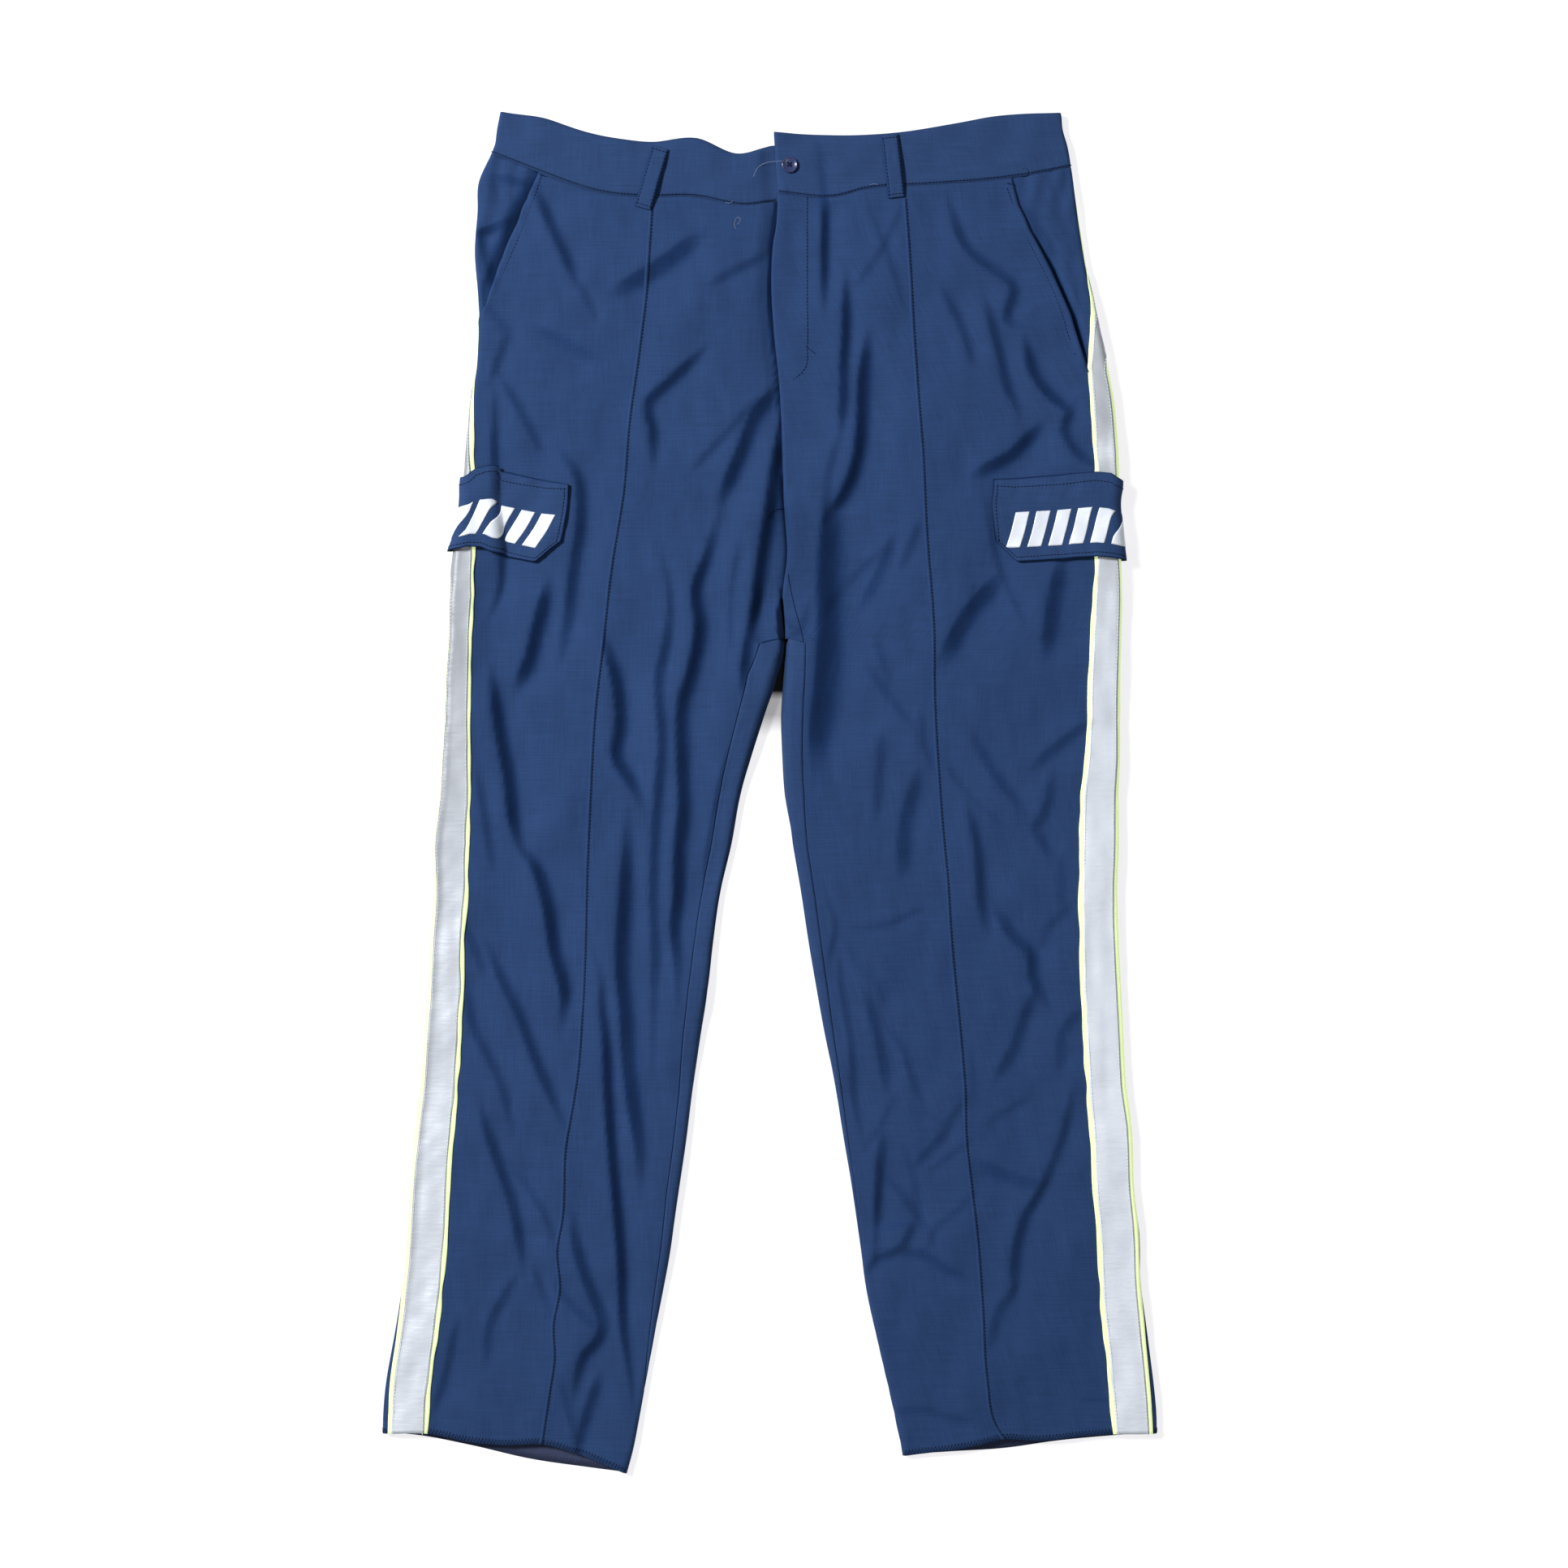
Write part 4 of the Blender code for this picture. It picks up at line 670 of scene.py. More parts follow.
def place(half, x, y):
    """Section numbers and arc lengths of the points on top that lie over x, y."""
    x, y = np.broadcast_arrays(np.asarray(x, float), np.asarray(y, float))
    row = np.interp(-y, [-section.outer_y for section in SECTIONS[half]], range(HEM + 1))
    for _ in range(40):
        found = measures(half, row)
        distance = (found["outer_x"] - x) / found["ux"]
        distance = np.clip(distance, 0.0, found["length"])
        sag = sag_of(half, row, distance / found["length"], np.full(row.shape, True))
        section_y = found["outer_y"] - found["uy"] * distance - sag
        row = np.clip(row + (section_y - y) / 40.0, 0.0, float(HEM))
    return row, arc_of(distance, measures(half, row)["outer_radius"])


def over(half, path, lift):
    """Points this far above a leg's top face along a path seen from above."""
    path = np.asarray(path, float)
    row, arc = place(half, path[:, 0], path[:, 1])
    return off_skin(half, row, arc, lift)


# Materials

NAVY = (0.0182, 0.0440, 0.122)
NAVY_PAINTED_SHADE = (0.0, 0.019, 0.09)
NAVY_INSIDE = (0.036, 0.045, 0.09)
NAVY_SHEEN = (0.25, 0.4, 0.8)
SILVER = (0.65, 0.69, 0.76)
LIME = (0.60, 0.70, 0.36)
BUTTON_NAVY = (0.026, 0.034, 0.1)
DARK_THREAD = (0.004, 0.009, 0.026)
PALE_THREAD = (0.62, 0.66, 0.70)
STRAY_COLOUR = (0.22, 0.28, 0.38)

# Distance between threads of the weave, and the heights of each pattern in a bump, in millimetres
WEAVE = 0.55
THREAD_HEIGHT = 0.035
SLUB_HEIGHT = 0.06
CRUMPLE_HEIGHT = 0.55
CLOUD_HEIGHT = 0.5
CREASE_HEIGHT = 0.35
BEAD_HEIGHT = 0.02


class Nodes:
    """A material's node tree, with short ways to add and join nodes."""

    def __init__(self, name):
        self.material = bpy.data.materials.new(name)
        self.material.use_nodes = True
        self.tree = self.material.node_tree
        self.shader = self.tree.nodes["Principled BSDF"]

    def add(self, kind, **values):
        node = self.tree.nodes.new(kind)
        for name, value in values.items():
            if hasattr(node, name):
                setattr(node, name, value)
            else:
                node.inputs[name.replace("_", " ")].default_value = value
        return node

    def give(self, value, socket):
        """Join an output to a socket, or set the socket to a plain value."""
        if isinstance(value, bpy.types.NodeSocket):
            self.tree.links.new(value, socket)
        else:
            socket.default_value = value

    def math(self, operation, first, second):
        node = self.add("ShaderNodeMath", operation=operation)
        self.give(first, node.inputs[0])
        self.give(second, node.inputs[1])
        return node.outputs[0]

    def noise(self, scale, detail, coordinates, stretch=(1.0, 1.0, 1.0)):
        """Noise of about 0 to 1; a larger stretch draws it out less along that axis."""
        mapping = self.add("ShaderNodeMapping", Scale=stretch)
        self.give(coordinates, mapping.inputs["Vector"])
        node = self.add("ShaderNodeTexNoise", Scale=scale, Detail=detail)
        self.give(mapping.outputs[0], node.inputs["Vector"])
        return node.outputs["Fac"]

    def between(self, factor, low, high):
        node = self.add("ShaderNodeMapRange", clamp=True, To_Min=low, To_Max=high)
        self.give(factor, node.inputs["Value"])
        return node.outputs[0]

    def scaled(self, vector, scale):
        node = self.add("ShaderNodeVectorMath", operation="SCALE")
        self.give(vector, node.inputs[0])
        self.give(scale, node.inputs["Scale"])
        return node.outputs[0]

    def grain(self):
        """Coordinates in millimetres along the cloth's own threads."""
        return self.scaled(self.add("ShaderNodeUVMap").outputs[0], 1.0 / MM)

    def object_place(self):
        return self.add("ShaderNodeTexCoord").outputs["Object"]

    def shade(self):
        """The painted shade that the mesh keeps at its points."""
        return self.add("ShaderNodeAttribute", attribute_name="shade").outputs["Fac"]

    def relief(self, layers, strength=1.0):
        """A bump from several patterns, each with its height in millimetres."""
        total, *others = [self.math("MULTIPLY", pattern, height) for pattern, height in layers]
        for other in others:
            total = self.math("ADD", total, other)
        bump = self.add("ShaderNodeBump", Strength=strength, Distance=MM)
        self.give(total, bump.inputs["Height"])
        self.give(bump.outputs[0], self.shader.inputs["Normal"])

    def finish(self, values):
        """The material, once these sockets of its shader are joined or set."""
        for name, value in values.items():
            self.give(value, self.shader.inputs[name])
        return self.material


def woven(name, colour, roughness=0.85, sheen=0.05, slub=0.2, sheen_tint=None, glow=0.0, deep=None):
    """A plain weave: crossing threads in the bump, slubs, uneven dye and painted shade in the colour."""
    nodes = Nodes(name)
    at = nodes.grain()
    split = nodes.add("ShaderNodeSeparateXYZ")
    nodes.give(at, split.inputs[0])
    turns = math.tau / WEAVE
    warp = nodes.math("SINE", nodes.math("MULTIPLY", split.outputs["X"], turns), 0.0)
    weft = nodes.math("SINE", nodes.math("MULTIPLY", split.outputs["Y"], turns), 0.0)
    threads = nodes.math("MULTIPLY", warp, weft)
    slub_up = nodes.noise(1.0, 2.0, at, (0.9, 0.035, 1.0))
    slub_over = nodes.noise(1.0, 2.0, at, (0.03, 0.8, 1.0))
    cloudy = nodes.noise(0.02, 3.0, at)
    crumpled = nodes.noise(0.11, 4.0, at)
    tone = nodes.math("ADD", nodes.between(slub_up, 1 - slub, 1 + slub),
                      nodes.between(slub_over, -slub, slub))
    tone = nodes.math("MULTIPLY", tone, nodes.between(cloudy, 0.94, 1.06))
    tone = nodes.math("MULTIPLY", tone, nodes.between(threads, 0.97, 1.03))
    # Painted shade: the shade the mesh keeps darkens the colour, and mixes it towards deep where deep is
    # given
    shade = nodes.shade()
    dark = nodes.math("POWER", shade, 3.0 if deep else 1.0)
    tone = nodes.math("MULTIPLY", tone, nodes.math("SUBTRACT", 1.0, dark))
    dye = colour
    if deep:
        mixed = nodes.add("ShaderNodeMix", data_type="RGBA")
        for value, socket in zip((shade, (*colour, 1.0), (*deep, 1.0)), (0, 6, 7)):
            nodes.give(value, mixed.inputs[socket])
        dye = mixed.outputs[2]
    nodes.relief(((threads, THREAD_HEIGHT), (crumpled, CRUMPLE_HEIGHT), (slub_over, SLUB_HEIGHT)))
    return nodes.finish({
        "Base Color": nodes.scaled(dye, tone), "Roughness": roughness, "Sheen Weight": sheen,
        "Sheen Roughness": 0.45, "Sheen Tint": (*(sheen_tint or colour), 1.0),
        "Specular IOR Level": 0.12, "Emission Color": (*colour, 1.0), "Emission Strength": glow,
    })


def reflective(name):
    """A silver coating of fine glass beads on cloth, softly clouded where it is crumpled, darkened by
    painted shade.
    """
    nodes = Nodes(name)
    at = nodes.grain()
    beads = nodes.noise(2.2, 2.0, at)
    clouds = nodes.noise(0.075, 4.0, at, (1.0, 0.7, 1.0))
    creases = nodes.noise(0.2, 3.0, at, (0.4, 1.6, 1.0))
    tone = nodes.math("MULTIPLY", nodes.between(clouds, 0.9, 1.08), nodes.between(beads, 0.97, 1.03))
    # Painted shade: the shade the mesh keeps darkens the silver
    tone = nodes.math("MULTIPLY", tone, nodes.math("SUBTRACT", 1.0, nodes.shade()))
    nodes.relief(((clouds, CLOUD_HEIGHT), (creases, CREASE_HEIGHT), (beads, BEAD_HEIGHT)), 0.8)
    return nodes.finish({"Base Color": nodes.scaled(SILVER, tone), "Roughness": 0.5, "Metallic": 0.15})


def glossy(name, colour, roughness, specular=0.5):
    """Moulded plastic or thread, with a little unevenness in its gloss."""
    nodes = Nodes(name)
    specks = nodes.noise(900.0, 3.0, nodes.object_place())
    return nodes.finish({
        "Specular IOR Level": specular,
        "Roughness": nodes.between(specks, roughness * 0.8, roughness * 1.3),
        "Base Color": nodes.scaled(colour, nodes.between(specks, 0.85, 1.15)),
    })


navy = woven("navy_cloth", NAVY, sheen_tint=NAVY_SHEEN, deep=NAVY_PAINTED_SHADE)
inside = woven("navy_inside", NAVY_INSIDE)
silver = reflective("silver_tape")
# The lime tape glows: partly its fluorescence, partly painted light that keeps it bright on the side turned
# from the key lamp
lime = woven("lime_tape", LIME, roughness=0.7, sheen=0.0, slub=0.03, glow=0.7)
plastic = glossy("button_plastic", BUTTON_NAVY, 0.22)
dark_thread = glossy("navy_thread", DARK_THREAD, 0.7, 0.08)
pale_thread = glossy("pale_thread", PALE_THREAD, 0.7, 0.2)
stray_thread = glossy("stray_thread", STRAY_COLOUR, 0.6)


# Mesh making

# The lowest that cloth and thread may lie, in millimetres
LOWEST = 0.05
LOWEST_THREAD = 0.5
UP = np.array([0.0, 0.0, 1.0])


def link(mesh, name):
    made = bpy.data.objects.new(name, mesh)
    bpy.context.scene.collection.objects.link(made)
    return made


def cloth(name, inner, outer, materials, shade=None):
    """A closed wall between two grids of points. Materials are the outer face's and the inner's."""
    rows, columns = outer.shape[:2]
    count = rows * columns
    sunk = np.clip(LOWEST - np.minimum(inner[..., 2], outer[..., 2]), 0.0, None)[..., None] * UP
    inner, outer = inner + sunk, outer + sunk
    points = np.concatenate([outer.reshape(-1, 3), inner.reshape(-1, 3)]) * MM
    corner = np.arange(count).reshape(rows, columns)
    a, b = corner[:-1, :-1].ravel(), corner[:-1, 1:].ravel()
    c, d = corner[1:, 1:].ravel(), corner[1:, :-1].ravel()
    rim = np.concatenate([corner[0, :-1], corner[:-1, -1], corner[-1, :0:-1], corner[:0:-1, 0]])
    after = np.roll(rim, -1)
    top = np.stack([a, b, c, d], 1)
    edge = np.stack([rim, rim + count, after + count, after], 1)
    faces = np.concatenate([top, top[:, ::-1] + count, edge])
    down, sideways = outer[1:, :-1] - outer[:-1, :-1], outer[:-1, 1:] - outer[:-1, :-1]
    if np.median(np.cross(down, sideways)[..., 2]) > 0:
        faces = faces[:, ::-1]
    mesh = bpy.data.meshes.new(name)
    mesh.from_pydata(points.tolist(), [], faces.tolist())
    for material in materials:
        mesh.materials.append(material)
    if len(materials) > 1:
        chosen = np.zeros(len(faces), dtype=np.int32)
        chosen[len(top) : 2 * len(top)] = 1
        mesh.polygons.foreach_set("material_index", chosen)
    steps = np.linalg.norm(np.diff(outer, axis=1), axis=2)
    along = np.concatenate([np.zeros((rows, 1)), np.cumsum(steps, axis=1)], axis=1)
    along = along - along[:, columns // 2, None] + outer[:, columns // 2, 0][:, None]
    u = np.tile(along.ravel(), 2) * MM
    v = np.tile(outer[..., 1].ravel(), 2) * MM
    layer_of_uv = mesh.uv_layers.new(name="UVMap")
    loops = np.empty(len(mesh.loops), dtype=np.int32)
    mesh.loops.foreach_get("vertex_index", loops)
    layer_of_uv.data.foreach_set("uv", np.stack([u[loops], v[loops]], axis=1).ravel())
    if shade is not None:
        attribute = mesh.attributes.new("shade", "FLOAT", "POINT")
        attribute.data.foreach_set("value", np.tile(shade.ravel(), 2).astype(np.float32))
    mesh.shade_smooth()
    mesh.update()
    return link(mesh, name)


def layer(half, rows, arcs, low, wall):
    """Inner and outer face of a wall that starts this far off the skin."""
    rows = rows[:, None]
    return off_skin(half, rows, arcs, low), off_skin(half, rows, arcs, low + wall)


# Fronts, backs, pockets and waistband


def pocket_edge(half, rows):
    """Arc length of the slanted pocket edge, which ends on the side seam."""
    whole = np.arange(FACING_END[half] + 1, dtype=float)
    found = measures(half, whole)
    edge = arc_of(found["pocket"], found["outer_radius"])
    edge[-1] = tape_edges(half, whole)[1][-1]
    return np.interp(rows, whole, edge)


def fly_drop(half, rows, arcs):
    """How much lower the right half lies where the left half's fly covers it."""
    from_centre = measures(half, rows)["girth"][:, None] - arcs
    shown = smooth((FLY_END + 0.6 - rows[:, None]) / 1.2)
    if half == "left":
        return -FLY_BULGE * np.exp(-((from_centre - 3.0) / 9.0) ** 2) * shown
    below = smooth((CROTCH - 0.3 - rows[:, None]) / 1.2) * smooth((5.0 - from_centre) / 5.0)
    fly = FLY_DROP * smooth((FLY_DROP_WIDTH - from_centre) / (FLY_DROP_WIDTH - 2.0)) * shown
    return np.maximum(fly, CENTRE_DROP * below)


def front_arcs(half, rows, step):
    _, seam, _ = tape_edges(half, rows)
    found = measures(half, rows)
    start, end = inseam_ends(half, rows)
    inner, shift = (start - end) / 2, -(start + end) / 2
    pocket = pocket_edge(half, rows)
    side = np.where(rows < FACING_END[half], np.maximum(pocket, seam), seam) + SEAM_GAP / 2
    shift = shift + SEAM_GAP / 2 * smooth((rows - CROTCH) * 4.0)
    if half == "right":
        inner = inner + FLY_UNDERLAP * smooth((FLY_END - rows) / 1.6)
        inner = inner + CENTRE_UNDERLAP * smooth((CROTCH - rows) / 1.2) * smooth((rows - FLY_END + 1.0))
    count = int(np.max(inner - side) / step)
    inner_edge = found["girth"] + 50.0 * smooth((CROTCH + 0.3 - rows) / 4.0)
    arcs = across(side, inner, count, np.stack([0 * rows, inner_edge], 1))
    return arcs - shift[:, None] * smooth((arcs - inner[:, None]) / INSEAM_BLEND + 1.0)


# The fronts a little darker all over, painted shade on fold walls, and near black painted shade across the
# slit between the halves
FRONT_SHADE = 0.1
WALL_SHADE = 0.5
SLIT_WIDTH = 3.0


def front(half):
    rows = fine_rows(half, BAND_SEAM, HEM, FRONT_STEP)
    arcs = front_arcs(half, rows, FRONT_STEP)
    pocket = pocket_edge(half, rows)[:, None]
    mouth = smooth((FACING_END[half] - 0.4 - rows) / 0.8) * smooth((rows - BAND_SEAM) / 1.5)
    lip = 1.1 * np.exp(-(((arcs - pocket) / 5.0) ** 2)) * mouth[:, None]
    drop = fly_drop(half, rows, arcs) - lip
    inner, outer = layer(half, rows, arcs, -CLOTH - drop, CLOTH)
    from_centre = measures(half, rows)["girth"][:, None] - arcs
    from_inner = arcs[:, -1:] - arcs
    hidden = smooth((4.5 - from_centre) / 3.0) * smooth((FLY_END + 0.6 - rows) / 0.6)[:, None]
    # The whole front a little darker; painted shade on fold walls; on the right front, painted shade under
    # the left's fly edge and near black in the slit between the halves
    wall = fold_shape(half, outer[..., 0], outer[..., 1])[1]
    shade = FRONT_SHADE + WALL_SHADE * wall
    if half == "right":
        in_slit = smooth((CENTRE_UNDERLAP + SLIT_WIDTH - from_inner) / 1.5)
        in_slit = in_slit * smooth((rows - FLY_END - 0.6) * 2.0)[:, None] * (rows < CROTCH + 0.01)[:, None]
        shade = np.maximum(shade, np.maximum(0.85 * hidden, 0.93 * in_slit))
    return cloth(f"cloth_front_{half}", inner, outer, [navy, inside], shade)


def back(half):
    rows = np.union1d(fine_rows(half, BAND_SEAM, HEM, BACK_STEP), BACK_BEND)
    _, seam, _ = tape_edges(half, rows)
    bent = (rows >= BACK_BEND) & (rows < INSEAM_BEND)
    start, end = inseam_ends(half, np.where(bent, INSEAM_BEND, rows))
    inner, shift = (end - start) / 2, -(start + end) / 2
    shift = shift - SEAM_GAP / 2 * smooth((rows - CROTCH) * 4.0)
    found = measures(half, rows)
    far = -found["girth"] - 50.0 * smooth((CROTCH + 0.3 - rows) / 4.0)
    count = int(np.max(seam - inner) / BACK_STEP)
    arcs = across(inner, seam - SEAM_GAP / 2, count, np.stack([0 * rows, far], 1), extra=3.0)
    arcs = arcs - shift[:, None] * smooth((inner[:, None] - arcs) / INSEAM_BLEND + 1.0)
    tucked = np.exp(-(((rows - CROTCH) / 0.25) ** 2))[:, None] * (arcs < -found["girth"][:, None])
    inner_face, outer_face = layer(half, rows, arcs, -CLOTH - 0.6 * tucked, CLOTH)
    return cloth(f"cloth_back_{half}", inner_face, outer_face, [navy, inside])


FACING_UNDER = 1.2
CRUMPLE = {"right": 0.6, "left": 0.7}
FACING_SHADE = {"right": 1.0, "left": 0.5}
# How far the pocket mouth's painted shade reaches in from the front's edge, by section number
MOUTH_SHADE_WIDTH = {
    "right": ((2, 7.0), (3, 14.0), (5, 18.0), (6, 11.0), (7, 5.0)),
    "left": ((2, 7.2), (8, 7.2)),
}
# How far each pocket mouth opens, by section number: it sets the facing's dip and how dark its painted shade
# is
MOUTH = {
    "right": ((2, 0.5), (3, 0.6), (4.5, 0.6), (6.6, 0.4)),
    "left": ((2, 0.2), (4, 0.35), (5, 1.0), (6.5, 1.0), (7.5, 0.6)),
}


def pocket_facing(half):
    rows = fine_rows(half, BAND_SEAM, FACING_END[half], 2.4)
    _, seam, _ = tape_edges(half, rows)
    pocket = pocket_edge(half, rows)
    end = np.maximum(pocket, seam) + POCKET_UNDERLAP
    start = seam + SEAM_GAP / 2
    count = int(np.max(end - start) / 2.0)
    arcs = across(start, end, count, np.zeros((len(rows), 1)))
    to_edge = pocket[:, None] - arcs
    mouth = smooth((FACING_END[half] - 0.3 - rows) / 1.5)[:, None]
    mouth = mouth * read(MOUTH[half], rows)[:, None]
    deep = POCKET_DEPTH * smooth(1.0 - to_edge / POCKET_DIP) * mouth
    points = skin(half, rows[:, None], arcs)
    from_tape = arcs - tape_edges(half, rows)[0][:, None]
    wrinkle = CRUMPLE[half] * ripples(points[..., 0], points[..., 1], 17.0, 3, 2.4) - 0.3
    wrinkle = wrinkle * smooth(to_edge / 9.0) * smooth((from_tape - 3.0) / 9.0)
    drop = np.maximum(deep, FACING_UNDER * smooth(1.0 - to_edge / 4.0)) - wrinkle
    inner, outer = layer(half, rows, arcs, -CLOTH - drop, CLOTH)
    # Painted shade: on fold walls, and near black along the pocket mouth under the front's edge
    wall = fold_shape(half, points[..., 0], points[..., 1])[1]
    shade = FRONT_SHADE + FACING_SHADE[half] * wall
    mouth_shade_width = read(MOUTH_SHADE_WIDTH[half], rows)[:, None]
    gap = smooth(1.0 - to_edge / mouth_shade_width) * np.clip(mouth * 1.6, 0.0, 1.0)
    shade = np.maximum(shade, 0.92 * gap)
    return cloth(f"cloth_pocket_facing_{half}", inner, outer, [navy], shade)


BAND_FOLD_SHARE = 0.3
BAND_FOLD_SHADE = 0.35


def waistband(half):
    rows = fine_rows(half, 0, BAND_SEAM, TRIM_STEP)
    found = measures(half, rows)
    inner_end = found["girth"] + (FLY_UNDERLAP if half == "right" else 0.0)
    count = int(np.max(found["girth"] + inner_end) / TRIM_STEP)
    arcs = across(-found["girth"], inner_end, count, np.zeros((len(rows), 1)), extra=2.0)
    from_seam = (BAND_SEAM - rows)[:, None] * np.ones(arcs.shape)
    roll = 0.3 * (1.0 - smooth(from_seam / 0.06)) + 0.3 * (1.0 - smooth((2.0 - from_seam) / 0.06))
    puff = 0.35 * np.sin(np.clip(from_seam / 2.0, 0, 1) * math.pi)
    low = -BAND_CLOTH - fly_drop(half, rows, arcs) - roll + puff
    points = skin(half, rows[:, None], arcs)
    low = low + 0.5 * ripples(points[..., 0], points[..., 1], 40.0, 8, 0.7) * smooth(from_seam / 0.5)
    fold, wall = fold_shape(half, points[..., 0], points[..., 1])
    low = low + BAND_FOLD_SHARE * fold * (arcs > 0) * (1.0 - roll / 0.3)
    inner, outer = layer(half, rows, arcs, low, BAND_CLOTH)
    shade = BAND_FOLD_SHADE * wall * (arcs > 0)
    return cloth(f"cloth_waistband_{half}", inner, outer, [navy, inside], shade)


# Side tapes and flaps


# Where the tape's outer edge comes round to the top, and how far in from the outline each layer ends
OUTER_EDGE_FROM = {"right": 12.0, "left": 6.2}
LIME_EDGE_ARC = -1.5
SILVER_EDGE_ARC = 4.6
LIME_MARGIN = 2.3


def tape_limits(half, rows):
    """Arc lengths of the front and back edges of the lime tape and of the silver tape on it."""
    front_edge, seam, back_edge = tape_edges(half, rows)
    shown = smooth(rows - OUTER_EDGE_FROM[half]) * smooth((HEM - 8.0 - rows) / 3.0 + 1.0)
    lime_back = np.maximum(back_edge, back_edge + (LIME_EDGE_ARC - back_edge) * shown)
    silver_back = seam - SILVER_SHARE * (seam - back_edge)
    silver_back = np.maximum(silver_back, silver_back + (SILVER_EDGE_ARC - silver_back) * shown)
    silver_front = np.minimum(seam + SILVER_SHARE * (front_edge - seam), front_edge - LIME_MARGIN)
    return front_edge, lime_back, silver_front, silver_back


# How much painted shade darkens the silver down each side: section number, share
TAPE_PAINTED_SHADE = {
    "right": ((0, 0.39), (13, 0.39), (17, 0.36), (21, 0.25), (25, 0.2), (32, 0.12)),
    "left": ((0, 0.42), (9, 0.4), (12, 0.32), (14, 0.22), (18, 0.12), (24, 0.04), (32, 0.0)),
}


# Painted shade added along the tape by the leg's outer edge, fading over RIM_WIDTH; less than 0 paints it
# lighter
TAPE_RIM_PAINTED_SHADE = {"right": 0.26, "left": -0.03}
RIM_WIDTH = 12.0


def tape(half, kind, low, material):
    rows = fine_rows(half, BAND_SEAM, HEM, TRIM_STEP)
    lime_front, lime_back, silver_front, silver_back = tape_limits(half, rows)
    start, end = (lime_back, lime_front) if kind == "lime" else (silver_back, silver_front)
    along_y = measures(half, rows)["outer_y"][:, None]
    share = np.linspace(0.0, 1.0, 17)
    wander = 0.4 * ripples(0 * along_y, along_y, 38.0, 21 + len(kind))
    arcs = start[:, None] + (end - start)[:, None] * share + wander * (share > 0.5)
    crumple = 0.16 * ripples(arcs, along_y + 0 * arcs, 15.0, 17, 1.3)
    inner, outer = layer(half, rows, arcs, low + crumple, TAPE_CLOTH)
    # Painted shade on the silver, darker down parts of each side and along its outer rim
    painted_shade = read(TAPE_PAINTED_SHADE[half], rows)[:, None] + 0.0 * arcs
    painted_shade = painted_shade + TAPE_RIM_PAINTED_SHADE[half] * smooth((RIM_WIDTH - arcs) / 6.0)
    return cloth(f"side_tape_{kind}_{half}", inner, outer, [material], painted_shade if kind == "silver" else None)


# Top and bottom edge of each flap as they lie: x, y of the top edge, y of the bottom edge
FLAP_EDGES = {
    "right": (
        (-250, 250, 185), (-241, 250, 190.5), (-233, 257, 193), (-221, 260, 192.5),
        (-215, 254.4, 190), (-194, 251, 185), (-178, 248.7, 181.5), (-160, 246, 181.5),
    ),
    "left": (
        (175, 249, 181), (191, 249.5, 181), (227, 251, 183.5), (238, 252, 184.5),
        (256, 253.5, 185.5), (268, 252, 184.5), (274, 247, 183), (278, 245, 180),
    ),
}


def flap_grid(half, arcs, share, chamfer=FLAP_CHAMFER):
    """Section numbers of a flap's points, by arc length and by share of the way down."""
    middle = np.full(arcs.shape, sum(FLAP_ROWS) / 2)
    x = skin(half, middle, arcs)[..., 0]
    table = np.array(FLAP_EDGES[half], float)
    top = np.interp(x, table[:, 0], table[:, 1])
    bottom = np.interp(x, table[:, 0], table[:, 2])
    from_end = FLAP_HALF_WIDTH - np.abs(arcs - flap_seam(half) - FLAP_SHIFT[half])
    bottom = bottom + np.clip(chamfer - from_end, 0, None)
    y = top + (bottom - top) * share
    heights = [section.outer_y for section in SECTIONS[half][8:15]]
    return np.interp(-y, [-height for height in heights], range(8, 15))


RIM = 1.3
RIM_SHADE = 0.97


def flap_seam(half):
    """Arc length of the side seam under the middle of a flap."""
    return tape_edges(half, np.array([sum(FLAP_ROWS) / 2]))[1][0]


def flap_lift(arcs, seam, share):
    """How far a flap lies off the leg, by arc length and share of the way down."""
    lift = flap_clearance(np.abs(arcs - seam))
    curl = 1.6 * smooth((share - 0.7) / 0.3) * np.exp(-(((arcs - seam) / 70.0) ** 2))
    wave = 0.35 * ripples(arcs - seam, share * 66.0 + 0 * arcs, 26.0, 31)
    return lift + (curl + wave) * (arcs > 0)


def flap(half):
    seam = flap_seam(half)
    inside_rim = np.linspace(RIM - FLAP_HALF_WIDTH, FLAP_HALF_WIDTH - RIM, 108)
    offsets = np.concatenate([[-FLAP_HALF_WIDTH], inside_rim, [FLAP_HALF_WIDTH]])
    shares = np.concatenate([[0.0], np.linspace(RIM / 66.0, 1.0 - RIM / 66.0, 38), [1.0]])
    arcs = seam + FLAP_SHIFT[half] + np.tile(offsets, (len(shares), 1))
    rows = flap_grid(half, arcs, np.tile(shares[:, None], (1, len(offsets))))
    lift = flap_lift(arcs, seam, shares[:, None])
    inner = off_skin(half, rows, arcs, lift)
    outer = off_skin(half, rows, arcs, lift + FLAP_CLOTH)
    shade = np.zeros(arcs.shape)
    shade[0], shade[-1], shade[:, 0], shade[:, -1] = RIM_SHADE, RIM_SHADE, RIM_SHADE, RIM_SHADE
    return cloth(f"cloth_flap_{half}", inner, outer, [navy, inside], shade)


# Plain slanted reflective bars on each flap: the first bar's foot, and the step from bar to bar
BAR_START = {"right": -181.0, "left": 196.0}
BAR_STEP = 16.5
BAR_COUNT = 6
BAR_WIDTH = 11.0
BAR_SLANT = 5.0
BAR_HEIGHT = 30.0
BAR_FOOT = {"right": 193.0, "left": 190.0}
BAR_LOW_END = 0.84
BAR_SPAN = 0.42


